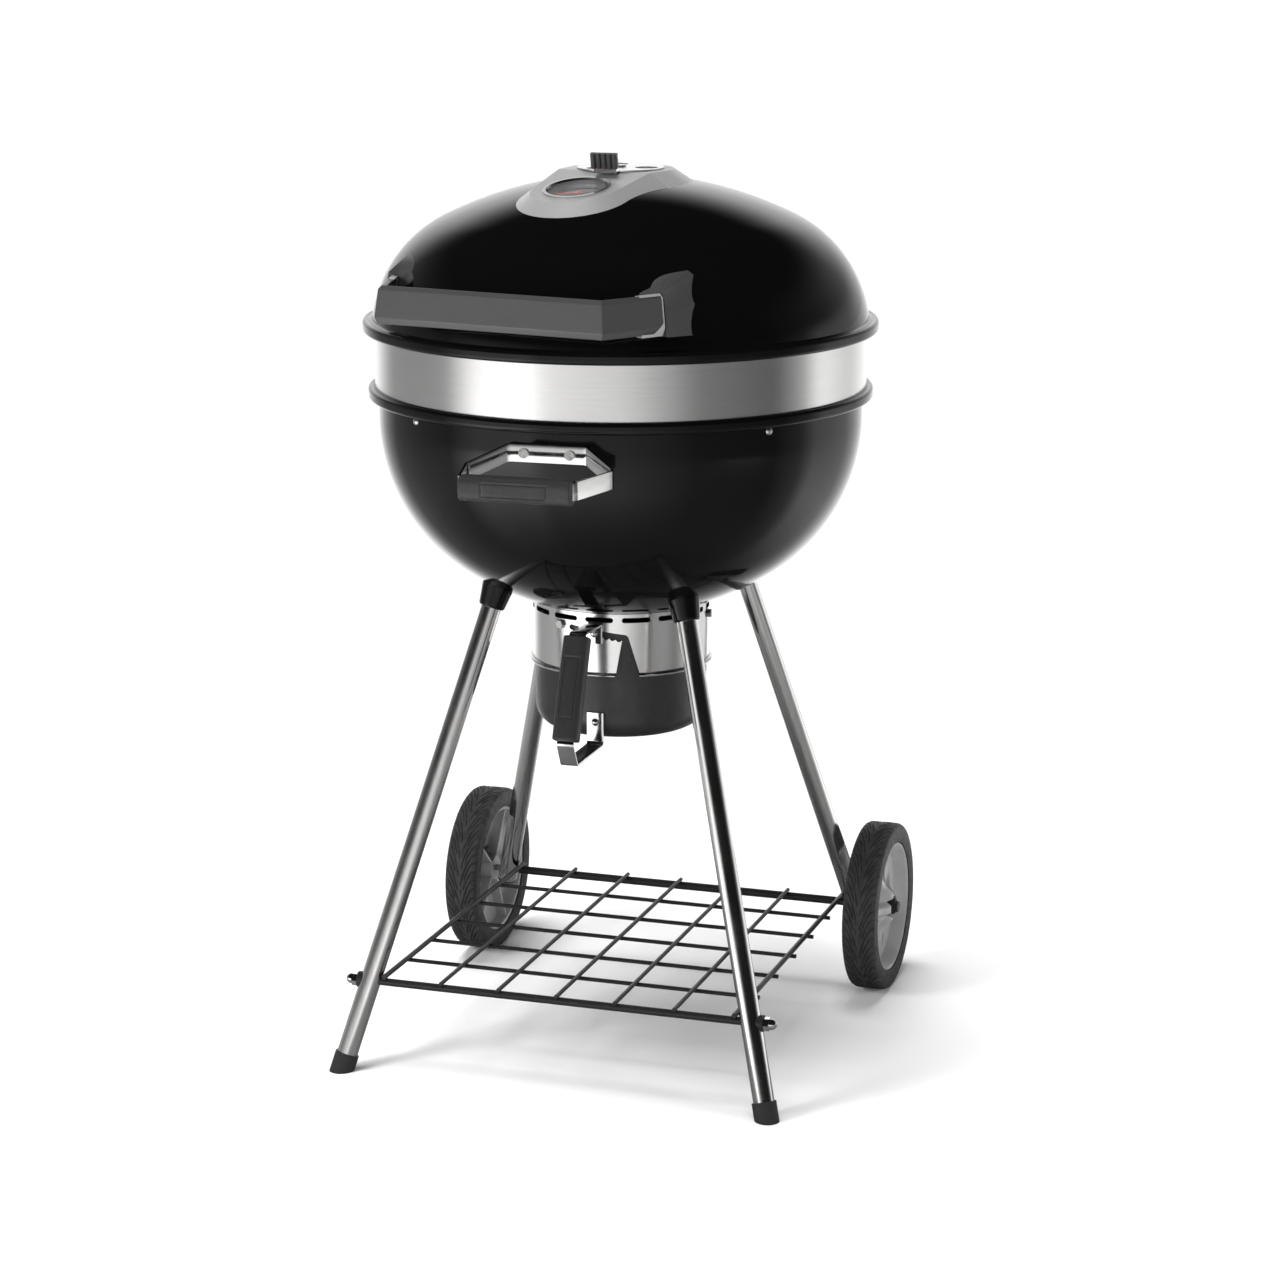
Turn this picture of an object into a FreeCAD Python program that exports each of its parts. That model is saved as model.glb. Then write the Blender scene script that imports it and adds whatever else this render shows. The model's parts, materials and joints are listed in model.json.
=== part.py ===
"""Kettle charcoal grill: a FreeCAD document with one object for each physical piece.

Lengths are in millimetres and +Z is up. The origin is on the ground under the middle of the
grill's bounding box. The front, where the handles point, is -Y. The kettle's own vertical axis
stands `axis_offset` behind the origin, and every piece is drawn about that axis first.
"""
import FreeCAD, Part
import math
import os
import Sketcher

Vector = FreeCAD.Vector
Rotation = FreeCAD.Rotation
Placement = FreeCAD.Placement
UP = Vector(0, 0, 1)

DIMENSIONS = {
    # whole grill
    "axis_offset": 33,
    "wall": 2,
    # bowl and its rolled rim
    "bowl_radius": 279, "bowl_side_radius": 213.8, "bowl_crown_radius": 331, "bowl_bottom": 512,
    "bowl_hole": 92, "bowl_ledge_top": 777.2, "bowl_ledge_radius": 284.5,
    "bowl_bead_radius": 287.1, "bowl_bead_half": 4, "bowl_bead_low": 771, "bowl_bead_high": 776,
    # steel band
    "band_radius": 283, "band_wall": 1.7, "band_top": 854.2, "band_lip_radius": 286.5,
    # lid and its rolled rim
    "lid_turn": -9.5, "lid_radius": 286.8, "lid_side_radius": 150.6, "lid_crown_radius": 463,
    "lid_top": 1019, "lid_ledge": 854.5, "lid_bead_radius": 292.3, "lid_bead_half": 4.3,
    "lid_bead_low": 847.3, "lid_bead_high": 853, "lid_vent_radius": 13, "lid_vent_circle": 32,
    # top vent housing, damper and thermometer
    "housing_flat": 1026, "housing_rear": 61, "housing_nose": 51, "gauge_distance": 104,
    "gauge_tilt": 12, "gauge_radius": 33, "gauge_bezel": 38.5, "damper_radius": 50,
    "probe_radius": 3, "probe_length": 75,
    # lid hinge
    "hinge_distance": 308, "hinge_height": 848, "hinge_pin_radius": 3, "hinge_width": 66,
    # ash shroud and ash pot
    "shroud_turn": 4.2, "shroud_radius": 103.5, "shroud_wall": 1.2, "shroud_bottom": 454,
    "shroud_top": 528.2, "shroud_bead": 2.4, "slot_count": 15, "slot_length": 34,
    "slot_height": 6, "slot_level": 521, "pot_turn": 1.5, "pot_radius": 100.5, "pot_wall": 1.5,
    "pot_bottom": 377.3, "pot_top": 525.5, "pot_corner": 24, "pin_radius": 2,
    "slot_pin_level": 505.8,
    # bowl handle
    "handle_turn": 2.1, "strap_thickness": 3, "strap_height": 20, "grip_length": 124,
    "grip_height": 27, "grip_depth": 25,
    # legs, sockets and feet
    "leg_radius": 12, "leg_wall": 1.5, "leg_foot": 256.5, "leg_slope": 0.2612,
    "socket_low": 15, "socket_high": 20.5, "cap_radius": 14, "cap_height": 21,
    # axle and wheels
    "axle_distance": 231.7, "axle_height": 103.5, "axle_radius": 4, "axle_length": 566,
    "wheel_centre": 258.5, "tyre_radius": 103.5, "tyre_half": 20.7, "hub_radius": 79.5,
    "hub_clearance": 0.05,
    # bottom shelf
    "shelf_half": 211, "shelf_rod_radius": 4.5, "shelf_rod_half": 251, "shelf_tube_radius": 5,
    "shelf_tube_half": 214.5, "side_wire_radius": 3, "wire_radius": 2.4, "cell_count": 6,
    # grids inside
    "grid_radius": 266, "grid_bottom": 771.6, "grid_height": 9,
    "grid_split": 112, "coal_grate_radius": 203, "coal_grate_height": 591, "bar_pitch": 22,
}

doc = FreeCAD.newDocument("KettleGrill")
sheet = doc.addObject("Spreadsheet::Sheet", "Sizes")
for row, (alias, size) in enumerate(DIMENSIONS.items(), start=1):
    sheet.set(f"A{row}", alias)
    sheet.set(f"B{row}", str(size))
    sheet.setAlias(f"B{row}", alias)
doc.recompute()

nodes = []


# ---------------------------------------------------------------- helpers

def value(expression):
    """The number that an expression of sheet cells stands for."""
    if isinstance(expression, str):
        return float(sheet.evalExpression(expression))
    return float(expression)


def size(alias):
    """One driving dimension from the sheet."""
    return float(getattr(sheet, alias))


def bind(thing, name, expression):
    """Set a property, and bind it to the sheet when it is given as an expression."""
    if isinstance(expression, str):
        thing.setExpression(name, expression)
    else:
        setattr(thing, name, expression)


def polar(radius, degrees, height=0.0):
    """A point at an angle from the front, counted towards +X."""
    angle = math.radians(degrees)
    return Vector(radius * math.sin(angle), -radius * math.cos(angle), height)


def turned(degrees):
    """A rotation about the kettle's vertical axis."""
    return Rotation(UP, degrees)


def keep(thing, label, base=Vector(), rotation=Rotation()):
    """Name a finished piece, and place it on the kettle's axis behind the origin."""
    thing.Label = label
    on_axis = Placement(Vector(0, size("axis_offset"), 0), Rotation())
    thing.Placement = on_axis.multiply(Placement(base, rotation))
    nodes.append(thing)
    return thing


def feature(label, shape, rotation=Rotation()):
    """A piece whose shape is worked out with Part's own functions."""
    thing = doc.addObject("Part::Feature", label)
    local = shape.Placement
    thing.Shape = shape
    return keep(thing, label, rotation.multVec(local.Base), rotation.multiply(local.Rotation))


def group(label, shapes, rotation=Rotation()):
    """Several identical solids that share one node."""
    return feature(label, Part.makeCompound(shapes), rotation)


def origin_plane(body, role):
    return next(part for part in body.Origin.OriginFeatures if part.Role == role)


def new_sketch(body, name, role="XZ_Plane"):
    sketch = body.newObject("Sketcher::SketchObject", name)
    sketch.AttachmentSupport = [(origin_plane(body, role), "")]
    sketch.MapMode = "FlatFace"
    return sketch


def pin_value(sketch, kind, where, number, expression):
    """Add one dimension to a sketch, bound to the sheet when it is an expression."""
    index = sketch.addConstraint(Sketcher.Constraint(kind, *where, number))
    if isinstance(expression, str):
        sketch.setExpression(f"Constraints[{index}]", expression)


def outline(sketch, corners, arcs=None):
    """Draw a closed outline. An edge listed in arcs is a round one: its radius is positive
    when its centre lies to the left of the way along the outline, and negative otherwise."""
    arcs = arcs or {}
    points = [Vector(value(x), value(y), 0) for x, y in corners]
    ends = []
    for i, start in enumerate(points):
        end = points[(i + 1) % len(points)]
        if i not in arcs:
            ends.append((sketch.addGeometry(Part.LineSegment(start, end), False), 1, 2))
            continue
        radius = value(arcs[i])
        chord = end - start
        rise = math.sqrt(max(radius ** 2 - chord.Length ** 2 / 4, 0))
        left = Vector(-chord.y, chord.x, 0) / chord.Length
        centre = (start + end) / 2 + left * math.copysign(rise, radius)
        first, last = (start, end) if radius > 0 else (end, start)
        circle = Part.Circle(centre, UP, abs(radius))
        first_angle = math.atan2(first.y - centre.y, first.x - centre.x)
        last_angle = math.atan2(last.y - centre.y, last.x - centre.x)
        arc = sketch.addGeometry(Part.ArcOfCircle(circle, first_angle, last_angle), False)
        ends.append((arc, 1, 2) if radius > 0 else (arc, 2, 1))
    for i, (edge, _, last) in enumerate(ends):
        follower, first, _ = ends[(i + 1) % len(ends)]
        sketch.addConstraint(Sketcher.Constraint("Coincident", edge, last, follower, first))
    for (edge, first, _), corner, point in zip(ends, corners, points):
        pin_value(sketch, "DistanceX", (-1, 1, edge, first), point.x, corner[0])
        pin_value(sketch, "DistanceY", (-1, 1, edge, first), point.y, corner[1])
    for i, radius in arcs.items():
        expression = radius
        if isinstance(radius, str) and value(radius) < 0:
            expression = f"-({radius})"
        pin_value(sketch, "Radius", (ends[i][0],), abs(value(radius)), expression)


def ring_outline(sketch, x, y, radius):
    """Draw one circle whose centre and radius are bound to the sheet."""
    centre = Vector(value(x), value(y), 0)
    circle = sketch.addGeometry(Part.Circle(centre, UP, value(radius)), False)
    pin_value(sketch, "DistanceX", (-1, 1, circle, 3), centre.x, x)
    pin_value(sketch, "DistanceY", (-1, 1, circle, 3), centre.y, y)
    pin_value(sketch, "Radius", (circle,), value(radius), radius)


def revolve(body, name, corners, arcs=None):
    """Add a solid of revolution about the body's vertical axis."""
    sketch = new_sketch(body, name + "_outline")
    outline(sketch, corners, arcs)
    solid = body.newObject("PartDesign::Revolution", name)
    solid.Profile = sketch
    solid.ReferenceAxis = (sketch, ["V_Axis"])
    solid.Angle = 360
    return solid


def pad(body, name, sketch, length, midplane=False):
    solid = body.newObject("PartDesign::Pad", name)
    solid.Profile = sketch
    bind(solid, "Length", length)
    if midplane:
        solid.SideType = "Symmetric"
    return solid


def pocket(body, name, sketch, reversed_way=True):
    """Cut a sketch right through the body on one side of its plane, and check that it cut."""
    doc.recompute()
    before = body.Shape.Volume
    cut = body.newObject("PartDesign::Pocket", name)
    cut.Profile = sketch
    cut.Type = "ThroughAll"
    cut.Reversed = reversed_way
    doc.recompute()
    assert body.Shape.Volume < before, f"{name} cuts nothing"
    return cut


def polar_pattern(body, name, original, count):
    pattern = body.newObject("PartDesign::PolarPattern", name)
    pattern.Originals = [original]
    pattern.Axis = (origin_plane(body, "Z_Axis"), [""])
    pattern.Angle = 360
    bind(pattern, "Occurrences", count)
    body.Tip = pattern
    return pattern


def new_body(name):
    return doc.addObject("PartDesign::Body", name)


def cylinder(name, radius, height, base=Vector(), rotation=Rotation()):
    """A Part cylinder whose radius and height are bound to the sheet."""
    solid = doc.addObject("Part::Cylinder", name)
    bind(solid, "Radius", radius)
    bind(solid, "Height", height)
    solid.Placement = Placement(base, rotation)
    return solid


def cut_from(name, base, tool):
    """One object of the document cut out of another."""
    result = doc.addObject("Part::Cut", name)
    result.Base = base
    result.Tool = tool
    return result


def rod(start, end, radius):
    """A plain round bar between two points."""
    return Part.makeCylinder(radius, (end - start).Length, start, end - start)


def box(low, high):
    """A plain block between two corners."""
    diagonal = high - low
    return Part.makeBox(diagonal.x, diagonal.y, diagonal.z, low)


def hexagon(across_flats, height):
    """A hexagonal prism standing on the origin."""
    corner = across_flats / math.sqrt(3)
    points = [polar(corner, 60 * i) for i in range(6)]
    return Part.Face(Part.makePolygon(points + points[:1])).extrude(UP * height)


def beyond(point, direction):
    """A large block on the side of a plane through `point` that `direction` points to."""
    reach = 1500
    block = Part.makeBox(2 * reach, 2 * reach, reach, Vector(-reach, -reach, 0))
    block.Placement = Placement(point, Rotation(UP, direction))
    return block


def closed_solid(faces):
    """A solid from faces that meet along all their edges."""
    shell = Part.makeShell(faces)
    shell.fix(1e-4, 1e-4, 1e-4)
    solid = Part.makeSolid(shell)
    if solid.Volume < 0:
        solid.reverse()
    return solid


def stations_solid(stations):
    """A closed solid through rings of points. Neighbouring rings are joined with triangles."""
    faces = []

    def triangle(*corners):
        faces.append(Part.Face(Part.makePolygon([*corners, corners[0]])))

    for ring, following in zip(stations, stations[1:]):
        for i in range(len(ring)):
            j = (i + 1) % len(ring)
            triangle(ring[i], ring[j], following[j])
            triangle(ring[i], following[j], following[i])
    for ring in (stations[0], stations[-1]):
        for i in range(1, len(ring) - 1):
            triangle(ring[0], ring[i], ring[i + 1])
    return closed_solid(faces)


def rounded_path(points, radius, steps=5):
    """The corners of a path replaced by short arcs of points."""
    path = [points[0]]
    for before, corner, after in zip(points, points[1:], points[2:]):
        into = (before - corner).normalize()
        out = (after - corner).normalize()
        half = into.getAngle(out) / 2
        reach = min(radius / math.tan(half), 0.45 * min((before - corner).Length,
                                                       (after - corner).Length))
        start = corner + into * reach
        end = corner + out * reach
        for k in range(steps + 1):
            t = k / steps
            path.append(start * (1 - t) ** 2 + corner * 2 * t * (1 - t) + end * t ** 2)
    path.append(points[-1])
    return path


def strap(points, across, thickness, width, bend=7):
    """A flat strap along a path. `across` is the direction of its width."""
    path = rounded_path(points, bend)
    rings = []
    for i, point in enumerate(path):
        before = path[max(i - 1, 0)]
        after = path[min(i + 1, len(path) - 1)]
        into = (point - before) if i else (after - point)
        out = (after - point) if i < len(path) - 1 else (point - before)
        into.normalize()
        out.normalize()
        along = (into + out).normalize()
        normal = along.cross(across).normalize()
        stretch = 1 / max(math.cos(into.getAngle(out) / 2), 0.5)
        side = normal * (thickness / 2 * stretch)
        half = across * (width / 2)
        rings.append([point - side - half, point + side - half,
                      point + side + half, point - side + half])
    return stations_solid(rings)


# ---------------------------------------------------------------- bowl and band

def tangent_x(kind):
    """Where the crown arc of the bowl or lid meets its side arc, as an expression."""
    p = f"Sizes.{kind}"
    return f"({p}_radius - {p}_side_radius) / ({p}_crown_radius - {p}_side_radius)"


def crown_rise(kind):
    p = f"Sizes.{kind}"
    return (f"sqrt(({p}_crown_radius - {p}_side_radius) ^ 2"
            f" - ({p}_radius - {p}_side_radius) ^ 2)")


BOWL_CENTRE = "(Sizes.bowl_bottom + Sizes.bowl_crown_radius)"
BOWL_SIDE_Z = f"({BOWL_CENTRE} - {crown_rise('bowl')})"
LID_CENTRE = "(Sizes.lid_top - Sizes.lid_crown_radius)"
LID_SIDE_Z = f"({LID_CENTRE} + {crown_rise('lid')})"


def bowl_height(radius, inset=0.0):
    """Height of the bowl's underside at a radius on its crown arc."""
    crown = size("bowl_crown_radius") - inset
    return value(BOWL_CENTRE) - math.sqrt(crown ** 2 - radius ** 2)


def lid_radius_at(height, inset=0.0):
    """Radius of the lid's outside at a height on its side arc."""
    side = size("lid_side_radius") - inset
    centre = size("lid_radius") - size("lid_side_radius")
    return centre + math.sqrt(side ** 2 - (height - value(LID_SIDE_Z)) ** 2)


def bead(body, name, kind):
    """The rolled rim: a rounded oval ring."""
    centre = f"Sizes.{kind}_bead_radius"
    half = f"Sizes.{kind}_bead_half"
    low, high = f"Sizes.{kind}_bead_low", f"Sizes.{kind}_bead_high"
    inner, outer = f"{centre} - {half}", f"{centre} + {half}"
    corners = [(inner, low), (outer, low), (outer, high), (inner, high)]
    return revolve(body, name, corners, {0: f"{half} * 1.02", 2: f"{half} * 1.02"})


def shell_tangent(kind, inset, sign):
    """The point where the crown arc meets the side arc, `inset` inside the outer face."""
    radius = f"(Sizes.{kind}_crown_radius - {inset})"
    centre = BOWL_CENTRE if kind == "bowl" else LID_CENTRE
    share = tangent_x(kind)
    return f"{radius} * {share}", f"{centre} {sign} {radius} * sqrt(1 - ({share}) ^ 2)"


def bowl():
    """Enamelled steel bowl with a flat ledge and a rolled rim."""
    body = new_body("bowl")
    inner = "(Sizes.bowl_crown_radius - Sizes.wall)"
    side = "(Sizes.bowl_side_radius - Sizes.wall)"
    corners = [
        ("Sizes.bowl_hole", f"{BOWL_CENTRE} - sqrt(Sizes.bowl_crown_radius ^ 2 - Sizes.bowl_hole ^ 2)"),
        shell_tangent("bowl", "0", "-"),
        ("Sizes.bowl_radius", BOWL_SIDE_Z),
        ("Sizes.bowl_radius", "Sizes.bowl_ledge_top - Sizes.wall"),
        ("Sizes.bowl_ledge_radius", "Sizes.bowl_ledge_top - Sizes.wall"),
        ("Sizes.bowl_ledge_radius", "Sizes.bowl_ledge_top"),
        ("Sizes.bowl_radius - Sizes.wall", "Sizes.bowl_ledge_top"),
        ("Sizes.bowl_radius - Sizes.wall", BOWL_SIDE_Z),
        shell_tangent("bowl", "Sizes.wall", "-"),
        ("Sizes.bowl_hole", f"{BOWL_CENTRE} - sqrt({inner} ^ 2 - Sizes.bowl_hole ^ 2)"),
    ]
    revolve(body, "bowl_shell", corners, {
        0: "Sizes.bowl_crown_radius", 1: "Sizes.bowl_side_radius",
        7: f"-{side}", 8: f"-{inner}"})
    bead(body, "bowl_rim", "bowl")
    keep(body, "bowl")


def steel_band():
    """Stainless band that stands on the bowl's ledge and carries the lid."""
    body = new_body("steel_band")
    inner = "Sizes.band_radius - Sizes.band_wall"
    lip = "Sizes.band_top - Sizes.band_wall"
    corners = [(inner, "Sizes.bowl_ledge_top"), ("Sizes.band_radius", "Sizes.bowl_ledge_top"),
               ("Sizes.band_radius", lip), ("Sizes.band_lip_radius", lip),
               ("Sizes.band_lip_radius", "Sizes.band_top"), (inner, "Sizes.band_top")]
    revolve(body, "band_ring", corners)
    keep(body, "steel_band")


# ---------------------------------------------------------------- lid

def lid_corners(inset):
    """The upper outline of the lid from its bottom edge to its top, `inset` inside."""
    side = f"(Sizes.lid_side_radius - {inset})"
    start = f"Sizes.lid_ledge + Sizes.wall - {inset}"
    foot = (f"Sizes.lid_radius - Sizes.lid_side_radius"
            f" + sqrt({side} ^ 2 - ({start} - {LID_SIDE_Z}) ^ 2)")
    return [(foot, start), shell_tangent("lid", inset, "+"), (0, f"Sizes.lid_top - {inset}")]


def lid_shell():
    """Enamelled dome with a rolled rim, three vent holes and a hole for the thermometer."""
    body = new_body("lid_shell")
    outer = lid_corners("0")
    inner = lid_corners("Sizes.wall")
    corners = [("Sizes.lid_bead_radius", "Sizes.lid_ledge"),
               ("Sizes.lid_bead_radius", "Sizes.lid_ledge + Sizes.wall"),
               *outer, inner[2], inner[1], inner[0]]
    revolve(body, "lid_dome", corners, {
        2: "Sizes.lid_side_radius", 3: "Sizes.lid_crown_radius",
        5: "-(Sizes.lid_crown_radius - Sizes.wall)", 6: "-(Sizes.lid_side_radius - Sizes.wall)"})
    bead(body, "lid_rim", "lid")
    vent = new_sketch(body, "lid_vent_outline", "XY_Plane")
    ring_outline(vent, 0, "Sizes.lid_vent_circle", "Sizes.lid_vent_radius")
    hole = pocket(body, "lid_vent", vent)
    polar_pattern(body, "lid_vents", hole, 3)
    gauge = new_sketch(body, "gauge_hole_outline", "XY_Plane")
    ring_outline(gauge, 0, "-Sizes.gauge_distance", "Sizes.gauge_bezel")
    pocket(body, "gauge_hole", gauge)
    keep(body, "lid_shell", rotation=turned(size("lid_turn")))


def lid_block(inset=0.0):
    """The lid as a full solid, `inset` inside its outer face. It trims what is fastened to it."""
    points = [Vector(value(x), 0, value(z)) for x, z in lid_corners(str(inset))]
    side_centre = Vector(size("lid_radius") - size("lid_side_radius"), 0, value(LID_SIDE_Z))
    middle = Vector(points[0].x + points[1].x, 0, points[0].z + points[1].z) / 2 - side_centre
    on_side = side_centre + middle.normalize() * (size("lid_side_radius") - inset)
    crown_centre = Vector(0, 0, value(LID_CENTRE))
    middle = (points[1] + points[2]) / 2 - crown_centre
    on_crown = crown_centre + middle.normalize() * (size("lid_crown_radius") - inset)
    foot = Vector(0, 0, points[0].z)
    edges = [Part.LineSegment(foot, points[0]), Part.Arc(points[0], on_side, points[1]),
             Part.Arc(points[1], on_crown, points[2]), Part.LineSegment(points[2], foot)]
    face = Part.Face(Part.Wire([edge.toShape() for edge in edges]))
    return face.revolve(Vector(), UP, 360)


# handle bar: its middle facet, and the two facets that turn back to the brackets
BAR_FRONT = 302
BAR_HALF = 138.5
BAR_END = Vector(170.5, -228, 0)
# outline of the bar across its length: distance in front of BAR_FRONT, and height
BAR_SECTION = [(4, 883), (0, 914), (-4, 918), (-9, 917), (-6.5, 876), (1, 876)]
# the trim on the bar's end: its outline, and the part left open, as distance along and height
TRIM_SECTION = [(4.7, 883), (0.7, 914.4), (-4, 919), (-9.9, 917.8), (-7.4, 873.8), (1.4, 873.8)]
TRIM_REACH = 28
TRIM_PLATE = 1.4
TRIM_WINDOW = [(0, 888), (-12, 877), (-30, 877), (-30, 916.5), (0, 916.5)]
TRIM_GAP = 1.2
BRACKET_BOTTOM = 873


def bar_ring(section, base, mitre):
    return [Vector(base.x + mitre.x * out, base.y + mitre.y * out, height)
            for out, height in section]


def bar_directions():
    """The way along the bar's right-hand facet, the way out of it, and the mitre's way."""
    facet = (BAR_END - Vector(BAR_HALF, -BAR_FRONT, 0)).normalize()
    mitre = Vector(math.tan(math.atan2(facet.y, facet.x) / 2), -1, 0)
    return facet, Vector(facet.y, -facet.x, 0), mitre


def lid_handle_bar():
    _, normal, mitre = bar_directions()
    right = [bar_ring(BAR_SECTION, BAR_END, normal),
             bar_ring(BAR_SECTION, Vector(BAR_HALF, -BAR_FRONT, 0), mitre)]
    left = [[Vector(-p.x, p.y, p.z) for p in ring] for ring in reversed(right)]
    return stations_solid(right + left)


def lid_handle_trim():
    """Thin plate on the bar's end, with a strip over the bar, a lip below and a small gusset."""
    facet, normal, _ = bar_directions()
    sleeve = stations_solid([bar_ring(TRIM_SECTION, BAR_END - facet * TRIM_REACH, normal),
                             bar_ring(TRIM_SECTION, BAR_END + facet * TRIM_PLATE, normal)])
    depth = 40
    corners = [BAR_END + facet * along - normal * depth + UP * height
               for along, height in TRIM_WINDOW]
    window = Part.Face(Part.makePolygon(corners + corners[:1])).extrude(normal * 2 * depth)
    return sleeve.cut(lid_handle_bar()).cut(window)


def bar_end_space():
    """The bar's end with its trim and a small gap round them, which the bracket stays clear of."""
    facet, normal, _ = bar_directions()
    inside, outside = -9.9 - TRIM_GAP, 12
    low, high = BRACKET_BOTTOM - 10, 930
    section = [(outside, low), (outside, high), (inside, high), (inside, low)]
    return stations_solid([bar_ring(section, BAR_END - facet * 2 * TRIM_REACH, normal),
                           bar_ring(section, BAR_END + facet * (TRIM_PLATE + TRIM_GAP), normal)])


def lid_handle_bracket():
    """Right-hand foot of the lid handle, before it is trimmed to the lid and the bar's end."""
    # corners at the bar's end
    top_outer, top_inner = Vector(171.5, -227.5, 922), Vector(154.1, -220, 914)
    low_outer, low_inner = Vector(177.1, -231.6, BRACKET_BOTTOM), Vector(158, -223, BRACKET_BOTTOM)
    middle_outer = (top_outer + low_outer) / 2
    # corners just inside the lid, from the outer side round the top to the inner side
    low_back, middle_back = Vector(203.7, -191.6, BRACKET_BOTTOM), Vector(194, -186, 906)
    shoulder, apex = Vector(183.7, -163.4, 936.2), Vector(176.2, -162.9, 942.2)
    ridge_end, slope_end = Vector(137, -194, 946), Vector(113, -217, 936)
    band_end, side_end = Vector(98, -233, 927), Vector(82, -250, 908)
    low_end = Vector(84, -262, BRACKET_BOTTOM)

    def flat(*corners):
        return Part.Face(Part.makePolygon([*corners, corners[0]]))

    def ruled(a, b, c, d):
        return Part.makeRuledSurface(Part.makeLine(a, b), Part.makeLine(d, c))

    faces = [ruled(top_outer, middle_outer, middle_back, shoulder),
             ruled(middle_outer, low_outer, low_back, middle_back),
             ruled(top_outer, apex, ridge_end, top_inner),
             flat(top_outer, shoulder, apex),
             flat(low_outer, low_back, low_end, low_inner),
             flat(top_outer, middle_outer, low_outer, low_inner),
             flat(top_outer, low_inner, top_inner)]
    inner = [ridge_end, slope_end, band_end, side_end, low_end, low_inner]
    faces += [flat(top_inner, first, second) for first, second in zip(inner, inner[1:])]
    back = [side_end, band_end, slope_end, ridge_end, apex, shoulder, middle_back, low_back]
    faces += [flat(low_end, first, second) for first, second in zip(back, back[1:])]
    return closed_solid(faces)


def mirrored(shape):
    return shape.mirror(Vector(), Vector(1, 0, 0))


def lid_handle():
    """Faceted bar, two end trims, two brackets and their bolts."""
    turn = turned(size("lid_turn"))
    clear_of_dome = lid_block(-0.6)
    bar = lid_handle_bar().cut(clear_of_dome)
    trim = lid_handle_trim().cut(clear_of_dome)
    bracket = lid_handle_bracket().cut(lid_block()).cut(bar_end_space())
    bracket = max(bracket.Solids, key=lambda solid: solid.Volume)
    feature("lid_handle_bar", bar, turn)
    group("lid_handle_trims", [trim, mirrored(trim)], turn)
    feature("lid_handle_bracket_right", bracket, turn)
    feature("lid_handle_bracket_left", mirrored(bracket), turn)
    bolts = []
    inside = lid_block(size("wall"))
    for height in (885, 912):
        reach = lid_radius_at(height) - size("wall")
        head = Part.makeCylinder(6, 12, polar(reach - 4.5, 39, height), polar(1, 39))
        head = head.common(inside)
        bolts.append(head)
        bolts.append(mirrored(head))
    group("lid_handle_bolts", bolts, turn)


# ---------------------------------------------------------------- top vent and thermometer

HOUSING_FLARE = 1.5
HOUSING_WALL = 2.2
NOSE_DISTANCE = 109
LEVEL_FRONT = 40


def teardrop(height, rear, nose, distance):
    """A closed outline round two circles, joined by straight sides that touch both."""
    angle = math.asin((rear - nose) / distance)
    side = Vector(math.cos(angle), -math.sin(angle), 0)
    rear_right = side * rear + UP * height
    nose_centre = Vector(0, -distance, height)
    nose_right = nose_centre + side * nose
    rear_left = Vector(-rear_right.x, rear_right.y, height)
    nose_left = Vector(-nose_right.x, nose_right.y, height)
    return Part.Wire([
        Part.Arc(rear_right, Vector(0, rear, height), rear_left).toShape(),
        Part.LineSegment(rear_left, nose_left).toShape(),
        Part.Arc(nose_left, nose_centre + Vector(0, -nose, 0), nose_right).toShape(),
        Part.LineSegment(nose_right, rear_right).toShape()])


def gauge_placement():
    """Where the thermometer's face centre is, with its Z pointing out of the face."""
    drop = (size("gauge_distance") - LEVEL_FRONT) * math.tan(math.radians(size("gauge_tilt")))
    centre = Vector(0, -size("gauge_distance"), size("housing_flat") - drop)
    return Placement(centre, Rotation(Vector(1, 0, 0), size("gauge_tilt")))


def housing_block(wall):
    """The teardrop with its sloping skirt: level over the vent, and bent down at the nose.
    With a wall thickness it is the hollow inside."""
    top = size("housing_flat")
    side = wall * math.sqrt(1 + HOUSING_FLARE ** 2)
    skirt = 60

    def section(depth):
        grow = depth * HOUSING_FLARE - side
        return teardrop(top - depth, size("housing_rear") + grow, size("housing_nose") + grow,
                        NOSE_DISTANCE)

    level = Part.makeLoft([section(skirt), section(wall)], True, True)
    bend = Vector(0, -LEVEL_FRONT, top)
    tilt = size("gauge_tilt")
    behind = beyond(bend, Vector(0, math.cos(math.radians(tilt / 2)),
                                 math.sin(math.radians(tilt / 2))))
    bent = level.copy()
    bent.rotate(bend, Vector(1, 0, 0), tilt)
    return level.common(behind).fuse(bent.cut(behind))


def vent_housing():
    dome = lid_block()
    shell = housing_block(0).cut(housing_block(HOUSING_WALL)).cut(dome)
    gauge = Part.makeCylinder(size("gauge_bezel") - 1.2, 40, Vector(0, 0, -20))
    gauge.Placement = gauge_placement()
    shell = shell.cut(gauge)
    for angle in (60, 180, 300):
        centre = polar(size("lid_vent_circle"), angle, size("housing_flat") - 20)
        shell = shell.cut(Part.makeCylinder(size("lid_vent_radius"), 40, centre))
    shell = shell.cut(Part.makeCylinder(2.6, 40, Vector(0, 0, size("housing_flat") - 20)))
    shell = max(shell.Solids, key=lambda solid: solid.Volume)
    feature("vent_housing", shell, turned(size("lid_turn")))


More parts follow.
